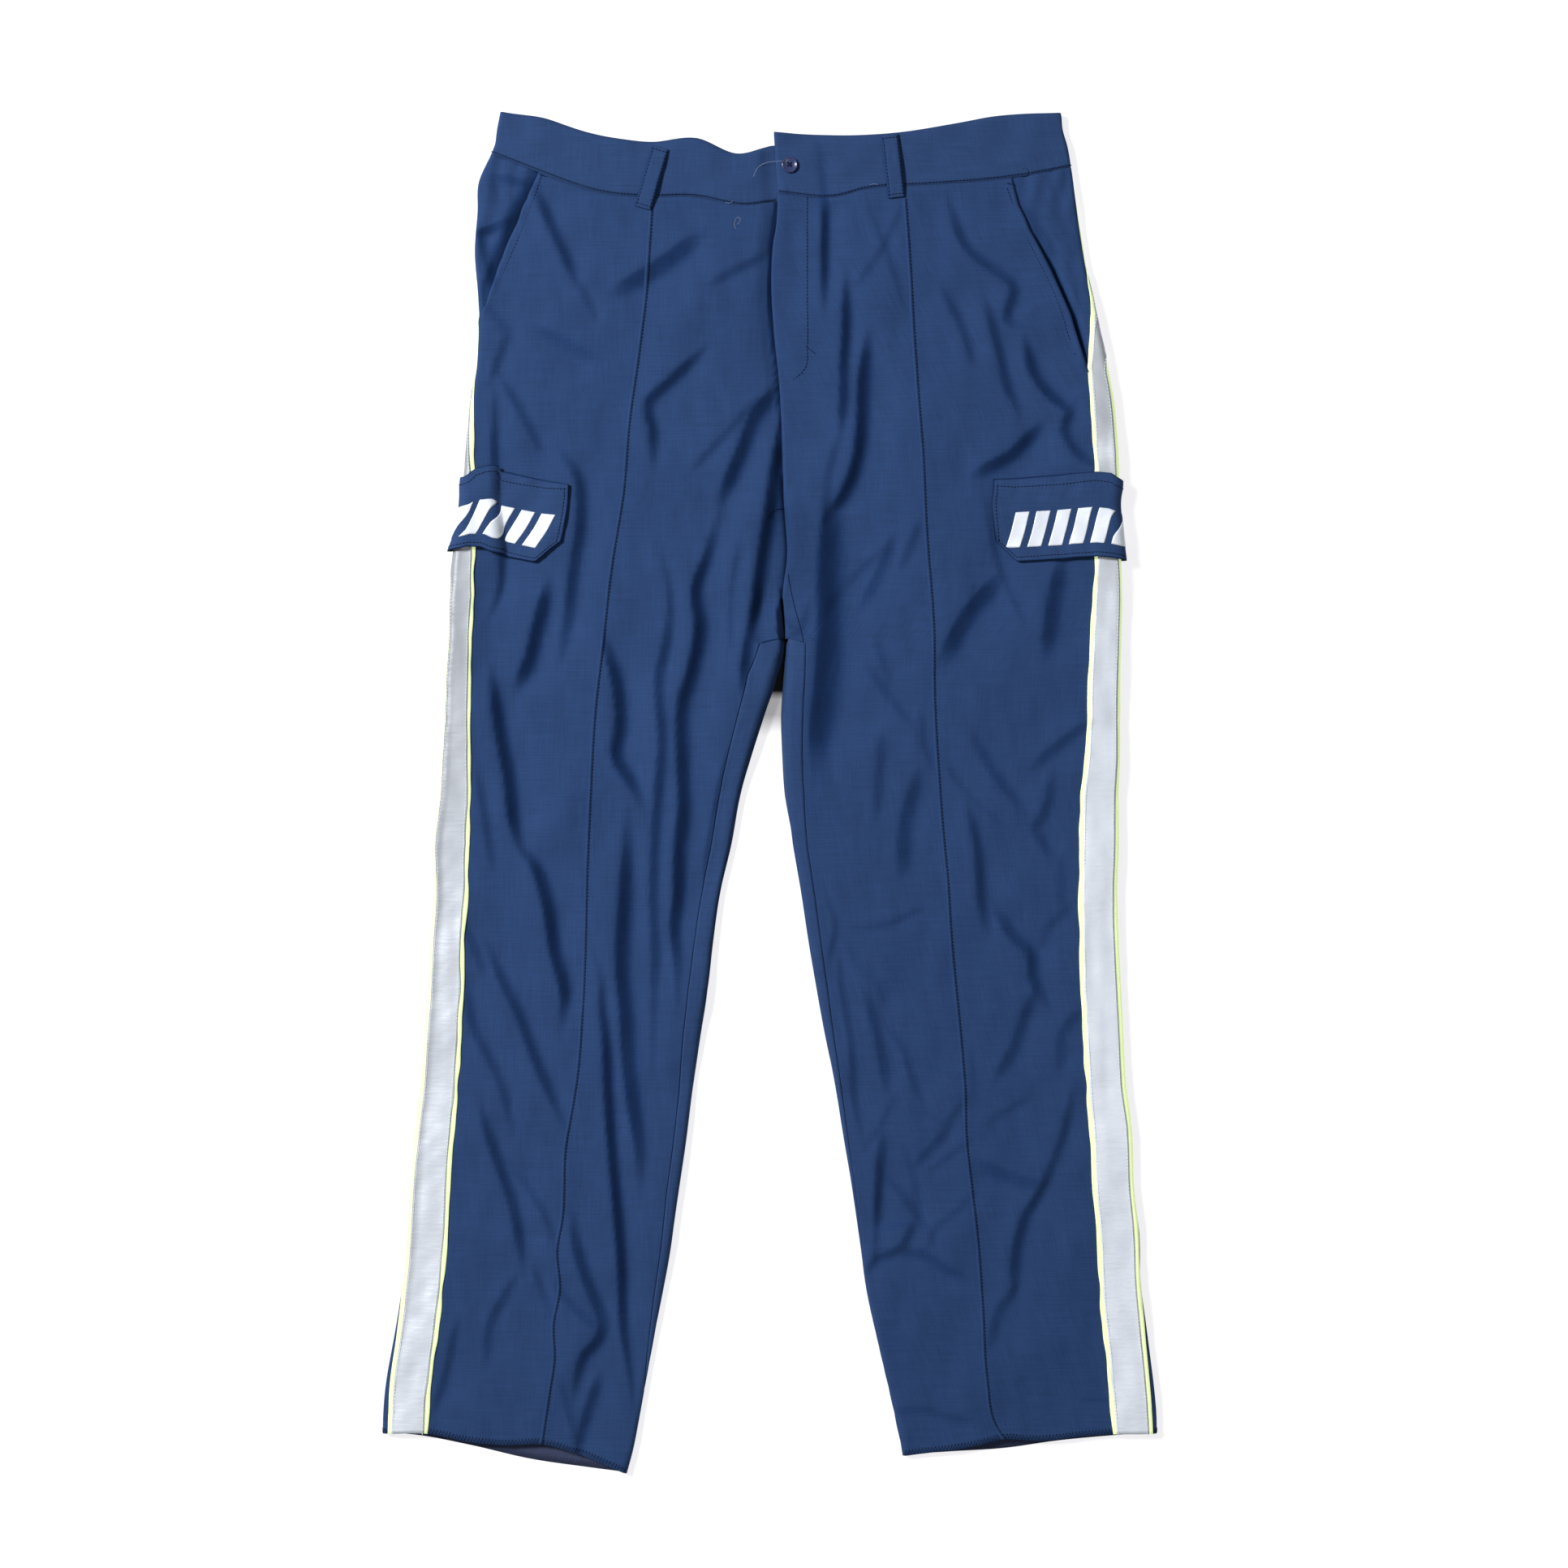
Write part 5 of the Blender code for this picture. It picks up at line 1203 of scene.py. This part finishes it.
def flap_bars(half):
    """A row of equal slanted bars, laid on the flap."""
    made = []
    seam = flap_seam(half)
    _, start_arc = place(half, np.array([BAR_START[half]]), np.array([BAR_FOOT[half] + BAR_HEIGHT / 2]))
    slant = BAR_SLANT if half == "left" else -BAR_SLANT
    up = np.linspace(0.0, 1.0, 21)[:, None]
    side = np.linspace(-0.5, 0.5, 13)[None, :]
    share = BAR_LOW_END - up * BAR_SPAN
    for index in range(BAR_COUNT):
        foot_arc = start_arc[0] - BAR_STEP * index
        arcs = foot_arc + side * BAR_WIDTH - slant * (up - 0.5) * 2.0
        rows = flap_grid(half, arcs, share + 0.0 * arcs, chamfer=0.0)
        lift = flap_lift(arcs, seam, share) + FLAP_CLOTH + 0.1
        made.append(cloth(f"bar_{half}_{index}", off_skin(half, rows, arcs, lift),
                          off_skin(half, rows, arcs, lift + 0.2), [silver]))
    return joined(made, f"flap_bars_{half}")


def joined(objects, name):
    """Several objects as one."""
    bpy.ops.object.select_all(action="DESELECT")
    for made in objects:
        made.select_set(True)
    bpy.context.view_layer.objects.active = objects[0]
    bpy.ops.object.join()
    objects[0].name = name
    objects[0].data.name = name
    return objects[0]


# Geometry Nodes trees for stitches and threads


class Tree:
    """A Geometry Nodes tree with named inputs, and a short way to add and join its nodes."""

    def __init__(self, name, inputs):
        self.tree = bpy.data.node_groups.new(name, "GeometryNodeTree")
        self.tree.is_modifier = True
        new_socket = self.tree.interface.new_socket
        new_socket("Geometry", in_out="INPUT", socket_type="NodeSocketGeometry")
        for label, kind in inputs.items():
            new_socket(label, in_out="INPUT", socket_type=f"NodeSocket{kind}")
        new_socket("Geometry", in_out="OUTPUT", socket_type="NodeSocketGeometry")
        self.given = self.tree.nodes.new("NodeGroupInput").outputs

    def add(self, kind, inputs, **settings):
        """The first output of a new node, whose inputs are joined to outputs or set to values."""
        node = self.tree.nodes.new(kind)
        for name, value in settings.items():
            setattr(node, name, value)
        for name, value in inputs.items():
            if isinstance(value, bpy.types.NodeSocket):
                self.tree.links.new(value, node.inputs[name])
            else:
                node.inputs[name].default_value = value
        return node.outputs[0]

    def finish(self, geometry):
        """Close the tree with Realize Instances, smooth faces and the given material."""
        real = self.add("GeometryNodeRealizeInstances", {"Geometry": geometry})
        even = self.add("GeometryNodeSetShadeSmooth", {"Geometry": real})
        painted = self.add("GeometryNodeSetMaterial", {"Geometry": even, "Material": self.given["Thread"]})
        result = self.tree.nodes.new("NodeGroupOutput")
        self.tree.links.new(painted, result.inputs["Geometry"])
        return self.tree


def stitch_tree():
    """Rounded stitches, one each Pitch along the edges of a mesh."""
    tree = Tree("stitch_rows", {"Pitch": "Float", "Stitch Length": "Float", "Thread Radius": "Float",
                                "Thread": "Material"})
    given = tree.given
    curve = tree.add("GeometryNodeMeshToCurve", {0: given["Geometry"]})
    spaced = tree.add("GeometryNodeResampleCurve", {"Curve": curve, "Length": given["Pitch"]}, mode="LENGTH")
    tangent = tree.add("GeometryNodeInputTangent", {})
    turn = tree.add("FunctionNodeAlignRotationToVector", {"Vector": tangent}, axis="Z")
    one = tree.add("GeometryNodeMeshUVSphere", {"Segments": 6, "Rings": 4, "Radius": 1.0})
    half_length = tree.add("ShaderNodeMath", {0: given["Stitch Length"], 1: 0.5}, operation="MULTIPLY")
    radius = given["Thread Radius"]
    size = tree.add("ShaderNodeCombineXYZ", {"X": radius, "Y": radius, "Z": half_length})
    put = tree.add("GeometryNodeInstanceOnPoints",
                   {"Points": spaced, "Instance": one, "Rotation": turn, "Scale": size})
    return tree.finish(put)


def tube_tree():
    """A round thread along the edges of a mesh."""
    tree = Tree("thread_tube", {"Thread Radius": "Float", "Thread": "Material"})
    curve = tree.add("GeometryNodeMeshToCurve", {0: tree.given["Geometry"]})
    ring = tree.add("GeometryNodeCurvePrimitiveCircle",
                    {"Resolution": 6, "Radius": tree.given["Thread Radius"]})
    tube = tree.add("GeometryNodeCurveToMesh", {"Curve": curve, "Profile Curve": ring, "Fill Caps": True})
    return tree.finish(tube)


STITCH_ROWS = stitch_tree()
THREAD_TUBE = tube_tree()


def path_mesh(name, paths):
    """Paths in millimetres as one mesh of edges."""
    points, edges = [], []
    for path in paths:
        first = len(points)
        points += (np.maximum(path, (-np.inf, -np.inf, LOWEST_THREAD)) * MM).tolist()
        edges += [(first + k, first + k + 1) for k in range(len(path) - 1)]
    mesh = bpy.data.meshes.new(name)
    mesh.from_pydata(points, edges, [])
    return link(mesh, name)


def grown(name, paths, tree, values):
    """The mesh that a tree makes along the paths."""
    made = path_mesh(name, paths)
    grow = made.modifiers.new("grow", "NODES")
    grow.node_group = tree
    for item in tree.interface.items_tree:
        if item.in_out == "INPUT" and item.name in values:
            grow[item.identifier] = values[item.name]
    graph = bpy.context.evaluated_depsgraph_get()
    mesh = bpy.data.meshes.new_from_object(made.evaluated_get(graph), depsgraph=graph)
    mesh.name = name
    made.modifiers.clear()
    made.data = mesh
    return made


def stitches(name, paths, thread, pitch=2.7, length=2.3, radius=0.4):
    """Rows of stitches along the paths, in millimetres."""
    values = {"Pitch": pitch * MM, "Stitch Length": length * MM, "Thread Radius": radius * MM}
    return grown(name, paths, STITCH_ROWS, {**values, "Thread": thread})


def thread(name, paths, material, radius):
    """Round threads along the paths, in millimetres."""
    return grown(name, paths, THREAD_TUBE, {"Thread Radius": radius * MM, "Thread": material})


# Strips and trims


def strip(name, half, path, width, height, material, base=-0.2):
    """A low rounded ridge along a path on top of a leg."""
    middle = rounded_path(path, spacing=3.5)
    heading = np.gradient(middle, axis=0)
    heading /= np.linalg.norm(heading, axis=1)[:, None]
    side = np.stack([-heading[:, 1], heading[:, 0]], axis=1)
    shares = np.linspace(-1.0, 1.0, 7)
    spots = middle[:, None, :] + side[:, None, :] * shares[None, :, None] * width / 2
    row, arc = place(half, spots[..., 0], spots[..., 1])
    crown = base + (height - base) * (1.0 - np.abs(shares) ** 2.5)
    inner = off_skin(half, row, arc, base - 0.25)
    outer = off_skin(half, row, arc, crown)
    # Painted shade darkens both sides of the ridge
    return cloth(name, inner, outer, [material], 0.75 * np.abs(shares) ** 3 + 0.0 * row)


# Ends of the belt loops as they lie, in millimetres
LOOP_ENDS = {
    "right": ((-86.0, 509.0), (-100.0, 461.0)),
    "left": ((94.5, 519.0), (100.0, 469.5)),
}
LOOP_WIDTH = 13.5
LOOP_BULGE = 1.9
LOOP_GAP = 0.65
LOOP_CLOTH = 1.5


def belt_loop(half):
    """A folded strip of cloth over the band, fixed at both ends."""
    top, bottom = (np.array(end, float) for end in LOOP_ENDS[half])
    along = (bottom - top) / np.linalg.norm(bottom - top)
    sideways = np.array([-along[1], along[0]])
    shares = np.linspace(0.0, 1.0, 40)[:, None]
    sides = np.linspace(-1.0, 1.0, 11)[None, :]
    x = top[0] + (bottom - top)[0] * shares + sideways[0] * sides * LOOP_WIDTH / 2
    y = top[1] + (bottom - top)[1] * shares + sideways[1] * sides * LOOP_WIDTH / 2
    row, arc = place(half, x, y)
    points = off_skin(half, row, arc, 0.0)
    points[..., 2] += LOOP_GAP + LOOP_BULGE * np.sin(math.pi * shares)
    rounded = LOOP_CLOTH * (1.0 - 0.55 * np.abs(sides) ** 6)
    pressed = sum(0.25 * np.exp(-(((shares - end) / 0.03) ** 2)) for end in (0.05, 0.95))
    outer = points.copy()
    outer[..., 2] += rounded - pressed
    edge_shade = 0.65 * np.abs(sides) ** 8 + 0.0 * shares
    made = cloth(f"cloth_belt_loop_{half}", points, outer, [navy], edge_shade)
    rows = [outer[2:-2, column] + np.array([0.0, 0.0, 0.05]) for column in (1, -2)]
    bars = [outer[2, 1:-1] + np.array([0, 0, 0.1]), outer[-3, 1:-1] + np.array([0, 0, 0.1])]
    return made, rows + bars


def tape_rows(half, edge, inwards, lift):
    """A path down the silver tape, this far in from its front or its back edge."""
    rows = fine_rows(half, BAND_SEAM, HEM, TRIM_STEP)
    _, _, silver_front, silver_back = tape_limits(half, rows)
    arcs = silver_front - inwards if edge == "front" else silver_back + inwards
    return off_skin(half, rows, arcs, lift)


def flap_path(half, offsets, shares, lift):
    """A path on the flap, by distance from the side seam and share of the way down."""
    shares = np.asarray(shares, float)
    arcs = flap_seam(half) + FLAP_SHIFT[half] + np.asarray(offsets, float)
    rows = flap_grid(half, arcs, shares)
    height = flap_lift(arcs, flap_seam(half), shares) + FLAP_CLOTH + lift
    return off_skin(half, rows, arcs, height)


def zigzag(points, sideways, width, pitch):
    """A zigzag to each side of a path."""
    steps = np.linalg.norm(np.diff(points, axis=0), axis=1)
    along = np.concatenate([[0.0], np.cumsum(steps)])
    count = int(along[-1] / pitch)
    at = np.linspace(0.0, along[-1], count)
    spots = np.stack([np.interp(at, along, points[:, k]) for k in range(3)], axis=1)
    sign = np.where(np.arange(count) % 2 == 0, 1.0, -1.0)[:, None]
    return spots + np.asarray(sideways) * sign * width / 2


# Stitched lines seen from above, in millimetres
POCKET_STITCHES = {
    "right": ((-180, 487), (-189, 461), (-198, 438), (-206, 420), (-213, 404), (-219, 390)),
    "left": ((187.6, 476), (197, 450), (208, 427), (221.6, 400), (230, 379), (236.5, 358)),
}
FLY_STITCHES = ((29.6, 469), (29.6, 430), (29.6, 390), (29.6, 351), (28.5, 336), (20, 327), (8.3, 324))
TACKS = {
    "right": (((-182, 488), (-176, 486)),),
    "left": (((28.6, 352), (36, 346)), ((187, 481), (193.5, 479.5)), ((239.5, 346), (247, 346.5))),
}
CROTCH_SEAM = ((14.4, 172), (17, 158), (20, 145), (24, 131), (26.6, 119))
FORK_SEAM = ((-2, 218), (3, 223), (9, 225))
LOOSE_THREAD = ((-13, 486), (-11.5, 490), (-8, 494.5), (-3, 497), (3, 498), (9.5, 498.5))
LINT = {
    "right": (
        ((-27, 445), (-28, 449), (-25, 454), (-23, 452), (-26, 448)),
        ((-35, 466), (-32, 465), (-29, 467.5)),
    ),
    "left": (((79, 479.5), (82, 480.5), (86, 479.5)),),
}
THREAD_END = ((20.5, 489.5), (22.5, 485), (29, 476))
STRAY_THREAD = ((199, 492), (202, 493), (204, 490), (203, 487))
BUTTONHOLE = ((21, 495.2), (28.5, 493.3))

BUTTON_CENTRE = (15.7, 495.4)
BUTTON_RADIUS = 6.5
BUTTON_RIM = 1.3
BUTTON_TOP = 2.6
BUTTON_DISH = 1.9
BUTTON_SEAT = 0.45
BUTTON_HOLE = 0.75
BUTTON_HOLE_OFFSET = 1.65


def cutter(x, y, z, radius, depth):
    """A cylinder to cut a hole with."""
    tool = bmesh.new()
    bmesh.ops.create_cone(tool, cap_ends=True, segments=16, radius1=radius * MM, radius2=radius * MM,
                          depth=depth * MM)
    bmesh.ops.translate(tool, verts=tool.verts, vec=(x * MM, y * MM, z * MM))
    mesh = bpy.data.meshes.new("cutter")
    tool.to_mesh(mesh)
    tool.free()
    return link(mesh, "cutter")


def button():
    """A turned disc with a rounded rim, a shallow dish and four sewn holes."""
    x, y = BUTTON_CENTRE
    row, arc = place("left", np.array([x]), np.array([y]))
    seat = skin("left", row, arc)[0, 2] + BUTTON_SEAT
    profile = (
        (0.0, 0.35), (BUTTON_RADIUS - 1.6, 0.0), (BUTTON_RADIUS - 0.6, 0.3), (BUTTON_RADIUS - 0.1, 0.9),
        (BUTTON_RADIUS, 1.5), (BUTTON_RADIUS - 0.12, 2.1), (BUTTON_RADIUS - 0.5, 2.45),
        (BUTTON_RADIUS - 0.9, BUTTON_TOP), (BUTTON_RADIUS - BUTTON_RIM, 2.5),
        (BUTTON_RADIUS - BUTTON_RIM - 0.5, 2.15), (BUTTON_RADIUS - BUTTON_RIM - 1.0, BUTTON_DISH),
        (0.0, BUTTON_DISH - 0.1),
    )
    tool = bmesh.new()
    spots = [tool.verts.new((radius * MM, 0.0, height * MM)) for radius, height in profile]
    edges = [tool.edges.new(pair) for pair in zip(spots[:-1], spots[1:])]
    bmesh.ops.spin(tool, geom=spots + edges, axis=(0, 0, 1), cent=(0, 0, 0), steps=64, angle=math.tau)
    bmesh.ops.remove_doubles(tool, verts=tool.verts, dist=1e-6)
    bmesh.ops.recalc_face_normals(tool, faces=tool.faces)
    bmesh.ops.translate(tool, verts=tool.verts, vec=(x * MM, y * MM, seat * MM))
    mesh = bpy.data.meshes.new("button_look")
    tool.to_mesh(mesh)
    tool.free()
    mesh.materials.append(plastic)
    made = link(mesh, "button_look")
    holes = []
    for quarter in range(4):
        angle = math.radians(45 + 90 * quarter)
        holes.append((x + BUTTON_HOLE_OFFSET * math.cos(angle), y + BUTTON_HOLE_OFFSET * math.sin(angle)))
    for hole in holes:
        cut = cutter(*hole, seat + 1.0, BUTTON_HOLE, 8.0)
        boolean = made.modifiers.new("hole", "BOOLEAN")
        boolean.operation = "DIFFERENCE"
        boolean.object = cut
        bpy.context.view_layer.objects.active = made
        bpy.ops.object.modifier_apply(modifier=boolean.name)
        bpy.data.objects.remove(cut)
    made.data.shade_smooth()
    made.data.set_sharp_from_angle(angle=math.radians(38))
    height = seat + BUTTON_DISH + 0.25
    sewn = []
    for first, second in ((0, 2), (1, 3)):
        start, end = holes[first], holes[second]
        for shift in (-0.22, 0.22):
            rise = [seat + 0.4, height, height + 0.12, height, seat + 0.4]
            share = [0.0, 0.06, 0.5, 0.94, 1.0]
            sewn.append([
                (start[0] + (end[0] - start[0]) * t + shift, start[1] + (end[1] - start[1]) * t + shift, z)
                for t, z in zip(share, rise)
            ])
    return made, thread("button_thread", sewn, dark_thread, 0.22)


# Building

pieces, loop_stitches = {}, {}
for half in ("right", "left"):
    pieces[half] = {
        "waistband": waistband(half),
        "front": front(half),
        "back": back(half),
        "pocket_facing": pocket_facing(half),
        "tape_lime": tape(half, "lime", LIME_LOW, lime),
        "tape_silver": tape(half, "silver", SILVER_LOW, silver),
        "flap": flap(half),
    }
    pieces[half]["belt_loop"], loop_stitches[half] = belt_loop(half)

button_look, button_thread = button()
trims = [button_thread]

# The row of stitches that holds the waistband is sewn just above its seam
BAND_STITCH_ROW = BAND_SEAM - 0.08
BAND_STITCH_LIFT = 0.4

dark_paths, pale_paths = [], []
for half in ("right", "left"):
    crease = strip(f"crease_{half}", half, CREASES[half], 3.4, 0.75, navy)
    trims.append(crease)
    trims.append(flap_bars(half))
    line = rounded_path(CREASES[half], spacing=3.0)
    dark_paths.append(over(half, line + np.array([1.9, 0.0]), 0.12))

    on_silver = SILVER_LOW + TAPE_CLOTH + 0.05
    pale_paths += [tape_rows(half, edge, 1.2, on_silver) for edge in ("front", "back")]

    girth = measures(half, np.array([BAND_STITCH_ROW]))["girth"][0]
    arcs = np.linspace(-girth + 2, girth - 2, 260)
    drop = fly_drop(half, np.full(1, BAND_STITCH_ROW), arcs[None, :])[0]
    lift = BAND_STITCH_LIFT - drop
    dark_paths.append(off_skin(half, np.full(arcs.shape, BAND_STITCH_ROW), arcs, lift))

    line = rounded_path(POCKET_STITCHES[half], spacing=3.0)
    dark_paths.append(over(half, line, 0.12))

    ends = FLAP_HALF_WIDTH - 3.5
    offsets = np.linspace(-ends, ends, 120)
    dark_paths.append(flap_path(half, offsets, np.full(120, 0.09), 0.05))
    dark_paths.append(flap_path(half, offsets, np.full(120, 0.95), 0.05))
    for end in (-ends, ends):
        dark_paths.append(flap_path(half, np.full(30, end), np.linspace(0.09, 0.92, 30), 0.05))

    dark_paths += loop_stitches[half]

line = rounded_path(FLY_STITCHES, spacing=3.0)
dark_paths.append(over("left", line, 0.12))

trims.append(stitches("stitches_navy", dark_paths, dark_thread))
trims.append(stitches("stitches_pale", pale_paths, pale_thread, radius=0.32))

hem_paths = []
for half in ("right", "left"):
    row = np.array([HEM - 0.14])
    found = measures(half, row)
    girth = found["girth"][0]
    arcs = np.linspace(-girth + 4, girth - 4, 500)
    edge = off_skin(half, np.full(arcs.shape, row[0]), arcs, 0.15)
    hem_paths.append(zigzag(edge, (0.0, 1.0, 0.0), 3.6, 1.3))
    hem_paths += [over(half, rounded_path(tack, spacing=1.0), 0.2) for tack in TACKS[half]]
trims.append(thread("hem_overlock", hem_paths, dark_thread, 0.28))

seams = (("left", CROTCH_SEAM), ("right", FORK_SEAM))
seam_lines = [over(half, rounded_path(seam, 2.0), 0.05) for half, seam in seams]
trims.append(thread("crotch_seams", seam_lines, dark_thread, 0.3))

line = rounded_path(LOOSE_THREAD, 1.5)
strays = [np.where(line[:, :1] > 3.0, over("left", line, 0.7), over("right", line, 1.0))]
for half, bits in LINT.items():
    strays += [over(half, rounded_path(bit, 1.5), 0.4) for bit in bits]
trims.append(thread("loose_threads", strays, stray_thread, 0.13))
ends = [over("left", rounded_path(path, 1.0), 0.3) for path in (STRAY_THREAD, BUTTONHOLE, THREAD_END)]
trims.append(thread("dark_ends", ends, dark_thread, 0.16))


# The pieces' flat sizes, the floor, and each piece hung on the frame's root in place of its solid

FLAT = {
    "waistband": (0.46, 0.045, 0.0207),
    "front": (0.29, 1.05, 0.225),
    "back": (0.31, 1.06, 0.258),
    "pocket_facing": (0.07, 0.19, 0.0098),
    "tape_lime": (0.033, 1.02, 0.0325),
    "tape_silver": (0.026, 1.02, 0.0262),
    "flap": (0.185, 0.07, 0.0124),
    "belt_loop": (0.014, 0.052, 0.0007),
}

floor_mesh = bpy.data.meshes.new("floor")
reach = 4.0
floor_mesh.from_pydata([(-reach, -reach, 0), (reach, -reach, 0), (reach, reach, 0), (-reach, reach, 0)],
                       [], [(0, 1, 2, 3)])
floor = link(floor_mesh, "floor")

for half, made in pieces.items():
    for kind, piece in made.items():
        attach(piece, "root")
        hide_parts(f"{kind}_{half}")
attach(button_look, "root")
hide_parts("button")
for piece in trims:
    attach(piece, "root")

for half, made in pieces.items():
    for kind, (width, length, area) in FLAT.items():
        piece = made[kind]


# The setting: a white table, soft light from the upper left, and the camera straight above

PAPER_WHITE = (0.25, 0.25, 0.255)
PAPER_GLOW = (0.985, 0.98, 1.0, 1.0)
GAP_MIDDLE = 0.01
GAP_HALF_WIDTH = 0.03
GAP_TOP = 0.3

# The white table glows evenly, with a painted shadow on it in the gap between the legs that deepens upwards
paper = Nodes("white_table")
fibres = paper.noise(60.0, 4.0, paper.object_place())
spot = paper.add("ShaderNodeSeparateXYZ")
paper.give(paper.object_place(), spot.inputs[0])
aside = paper.math("ABSOLUTE", paper.math("SUBTRACT", spot.outputs["X"], GAP_MIDDLE), 0.0)
painted_shadow_area = paper.math("LESS_THAN", aside, GAP_HALF_WIDTH)
painted_shadow_area = paper.math("MULTIPLY", painted_shadow_area, paper.math("LESS_THAN", spot.outputs["Y"], GAP_TOP))
lit = 1.0
for start, rise, share in ((0.045, 60.0, 0.6), (0.074, 150.0, 0.4)):
    up = paper.math("MULTIPLY", paper.math("SUBTRACT", spot.outputs["Y"], start), rise)
    painted_shadow = paper.math("MULTIPLY", paper.between(up, 0.0, share), painted_shadow_area)
    lit = paper.math("SUBTRACT", lit, painted_shadow)
tone = paper.math("MULTIPLY", paper.between(fibres, 0.985, 1.0), lit)
floor.data.materials.append(paper.finish({
    "Base Color": paper.scaled(PAPER_WHITE, tone), "Roughness": 0.9,
    "Emission Color": PAPER_GLOW, "Emission Strength": paper.math("MULTIPLY", lit, 0.8),
}))

scene = bpy.context.scene
world = bpy.data.worlds.new("studio")
scene.world = world
world.use_nodes = True
world.node_tree.nodes["Background"].inputs["Color"].default_value = (0.95, 0.97, 1.0, 1.0)
world.node_tree.nodes["Background"].inputs["Strength"].default_value = 0.16


def lamp(name, towards, height, distance, size, power):
    """A square soft light, aimed at the middle, at this compass angle and height in degrees."""
    data = bpy.data.lights.new(name, "AREA")
    data.size = size
    data.energy = power
    made = bpy.data.objects.new(name, data)
    turn, rise = math.radians(towards), math.radians(height)
    flat = distance * math.cos(rise)
    made.location = (flat * math.cos(turn), flat * math.sin(turn), distance * math.sin(rise))
    made.rotation_euler = (-Vector(made.location)).to_track_quat("-Z", "Y").to_euler()
    scene.collection.objects.link(made)


lamp("key", 152.0, 44.0, 3.6, 0.7, 195.0)
lamp("fill", -20.0, 70.0, 3.6, 1.6, 22.0)

camera_data = bpy.data.cameras.new("camera")
camera = bpy.data.objects.new("camera", camera_data)
camera.location = (0.0112, 0.0070, 2.2)
camera_data.sensor_width = 36.0
camera_data.lens = 63.76
camera_data.clip_end = 50.0
scene.collection.objects.link(camera)
scene.camera = camera
scene.view_settings.view_transform = "Standard"
